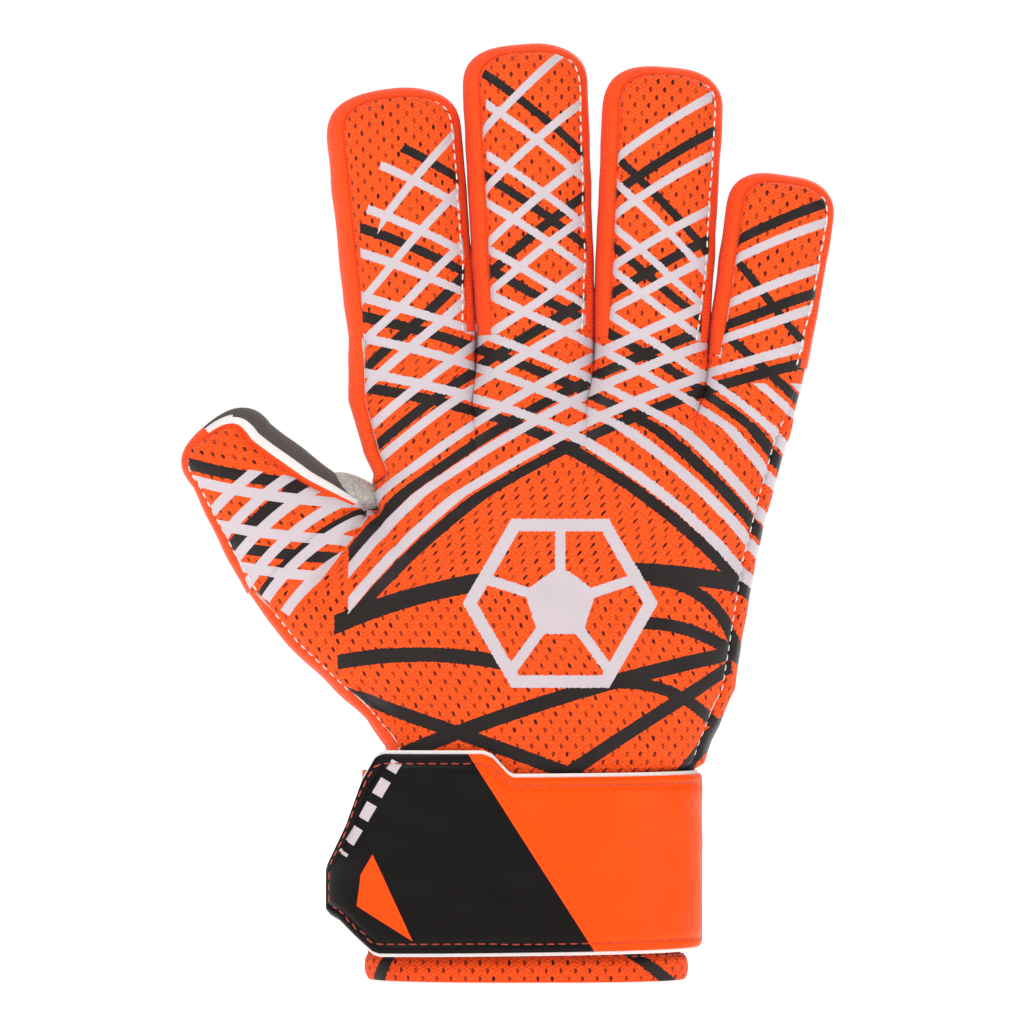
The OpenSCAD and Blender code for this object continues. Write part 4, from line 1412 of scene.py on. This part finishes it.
# ---------------------------------------------------------------- floor, light and camera

def make_stage():
    """A wide pale floor, soft studio lights, white surroundings that light the glove gently, and the
    camera.
    """
    scene = bpy.context.scene
    corners = np.array([[-9, -9, -0.0004], [9, -9, -0.0004], [9, 9, -0.0004], [-9, 9, -0.0004]]) / MM
    floor = new_object("studio_floor", corners, np.array([[0, 1, 2, 3]]))
    floor.data.materials.append(finish_of("paper"))

    world = bpy.data.worlds.new("studio_surroundings")
    world.use_nodes = True
    tree = world.node_tree
    path = tree.nodes.new("ShaderNodeLightPath")
    level = tree.nodes.new("ShaderNodeMath")
    level.operation = "MULTIPLY_ADD"
    level.inputs[1].default_value = 0.68
    level.inputs[2].default_value = 0.32
    tree.links.new(path.outputs["Is Camera Ray"], level.inputs[0])
    tree.links.new(level.outputs[0], tree.nodes["Background"].inputs[1])
    tree.nodes["Background"].inputs[0].default_value = colour("#FFFFFF")
    scene.world = world
    for name, place, size, watts in (("key_light", (-1.0, -1.4, 1.5), 1.0, 25),
                                     ("fill_light", (1.4, -1.3, 0.6), 1.2, 9),
                                     ("top_light", (0.0, 0.3, 1.8), 1.4, 12),
                                     ("back_light", (0.8, 1.6, 1.1), 1.2, 22)):
        light = bpy.data.lights.new(name, "AREA")
        light.energy, light.size = watts, size
        lamp = bpy.data.objects.new(name, light)
        lamp.location = place
        aim = np.array([0, 0, 0.13]) - np.array(place)
        lamp.rotation_euler = (math.acos(-aim[2] / np.linalg.norm(aim)), 0,
                               math.atan2(aim[1], aim[0]) - math.pi / 2)
        scene.collection.objects.link(lamp)
    camera = bpy.data.cameras.new("view")
    camera.lens, camera.sensor_width = 250, 36
    camera.clip_start = 0.1
    eye = bpy.data.objects.new("view", camera)
    eye.location = (-0.00144, -2.06, 0.1349)
    eye.rotation_euler = (math.pi / 2, 0, 0)
    scene.collection.objects.link(eye)
    scene.camera = eye
    scene.view_settings.view_transform = "Standard"


# ---------------------------------------------------------------- operators and panel

class GLOVE_OT_stage(bpy.types.Operator):
    """Floor, backdrop, lights and camera."""
    bl_idname = "glove.stage"
    bl_label = "Stage"

    def execute(self, context):
        make_stage()
        return {"FINISHED"}


class GLOVE_OT_hand(bpy.types.Operator):
    """Back and palm of the hand, their edge strips and the tuck at the thumb."""
    bl_idname = "glove.hand"
    bl_label = "Hand"

    def execute(self, context):
        make_hand(context.scene.glove_sizes)
        return {"FINISHED"}


class GLOVE_OT_digits(bpy.types.Operator):
    """The four fingers and the thumb, with their seams."""
    bl_idname = "glove.digits"
    bl_label = "Fingers and thumb"

    def execute(self, context):
        for d in DIGITS:
            make_digit(d, context.scene.glove_sizes)
        return {"FINISHED"}


class GLOVE_OT_cuff(bpy.types.Operator):
    """Cuff, entry slit, elastic, loop patch and label."""
    bl_idname = "glove.cuff"
    bl_label = "Cuff"

    def execute(self, context):
        make_cuff(context.scene.glove_sizes)
        return {"FINISHED"}


class GLOVE_OT_strap(bpy.types.Operator):
    """Wrist strap with its foam, hook tape and anchor."""
    bl_idname = "glove.strap"
    bl_label = "Wrist strap"

    def execute(self, context):
        make_strap(context.scene.glove_sizes)
        return {"FINISHED"}


class GLOVE_PT_panel(bpy.types.Panel):
    """Sizes, colours and the glove's pieces."""
    bl_idname = "GLOVE_PT_panel"
    bl_label = "Goalkeeper glove"
    bl_space_type = "VIEW_3D"
    bl_region_type = "UI"
    bl_category = "Glove"

    def draw(self, context):
        for group in (context.scene.glove_sizes, context.scene.glove_colours):
            for key in group.__annotations__:
                self.layout.prop(group, key)
        for operator in OPERATORS:
            self.layout.operator(operator.bl_idname)


OPERATORS = (GLOVE_OT_stage, GLOVE_OT_hand, GLOVE_OT_digits, GLOVE_OT_cuff, GLOVE_OT_strap)
CLASSES = (GloveSizes, GloveColours) + OPERATORS + (GLOVE_PT_panel,)


def register():
    for item in CLASSES:
        bpy.utils.register_class(item)
    bpy.types.Scene.glove_sizes = bpy.props.PointerProperty(type=GloveSizes)
    bpy.types.Scene.glove_colours = bpy.props.PointerProperty(type=GloveColours)


def unregister():
    del bpy.types.Scene.glove_colours
    del bpy.types.Scene.glove_sizes
    for item in reversed(CLASSES):
        bpy.utils.unregister_class(item)


def main():
    register()
    bpy.ops.glove.stage()
    bpy.ops.glove.hand()
    bpy.ops.glove.digits()
    bpy.ops.glove.cuff()
    bpy.ops.glove.strap()
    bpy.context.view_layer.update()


if __name__ == "__main__":
    main()
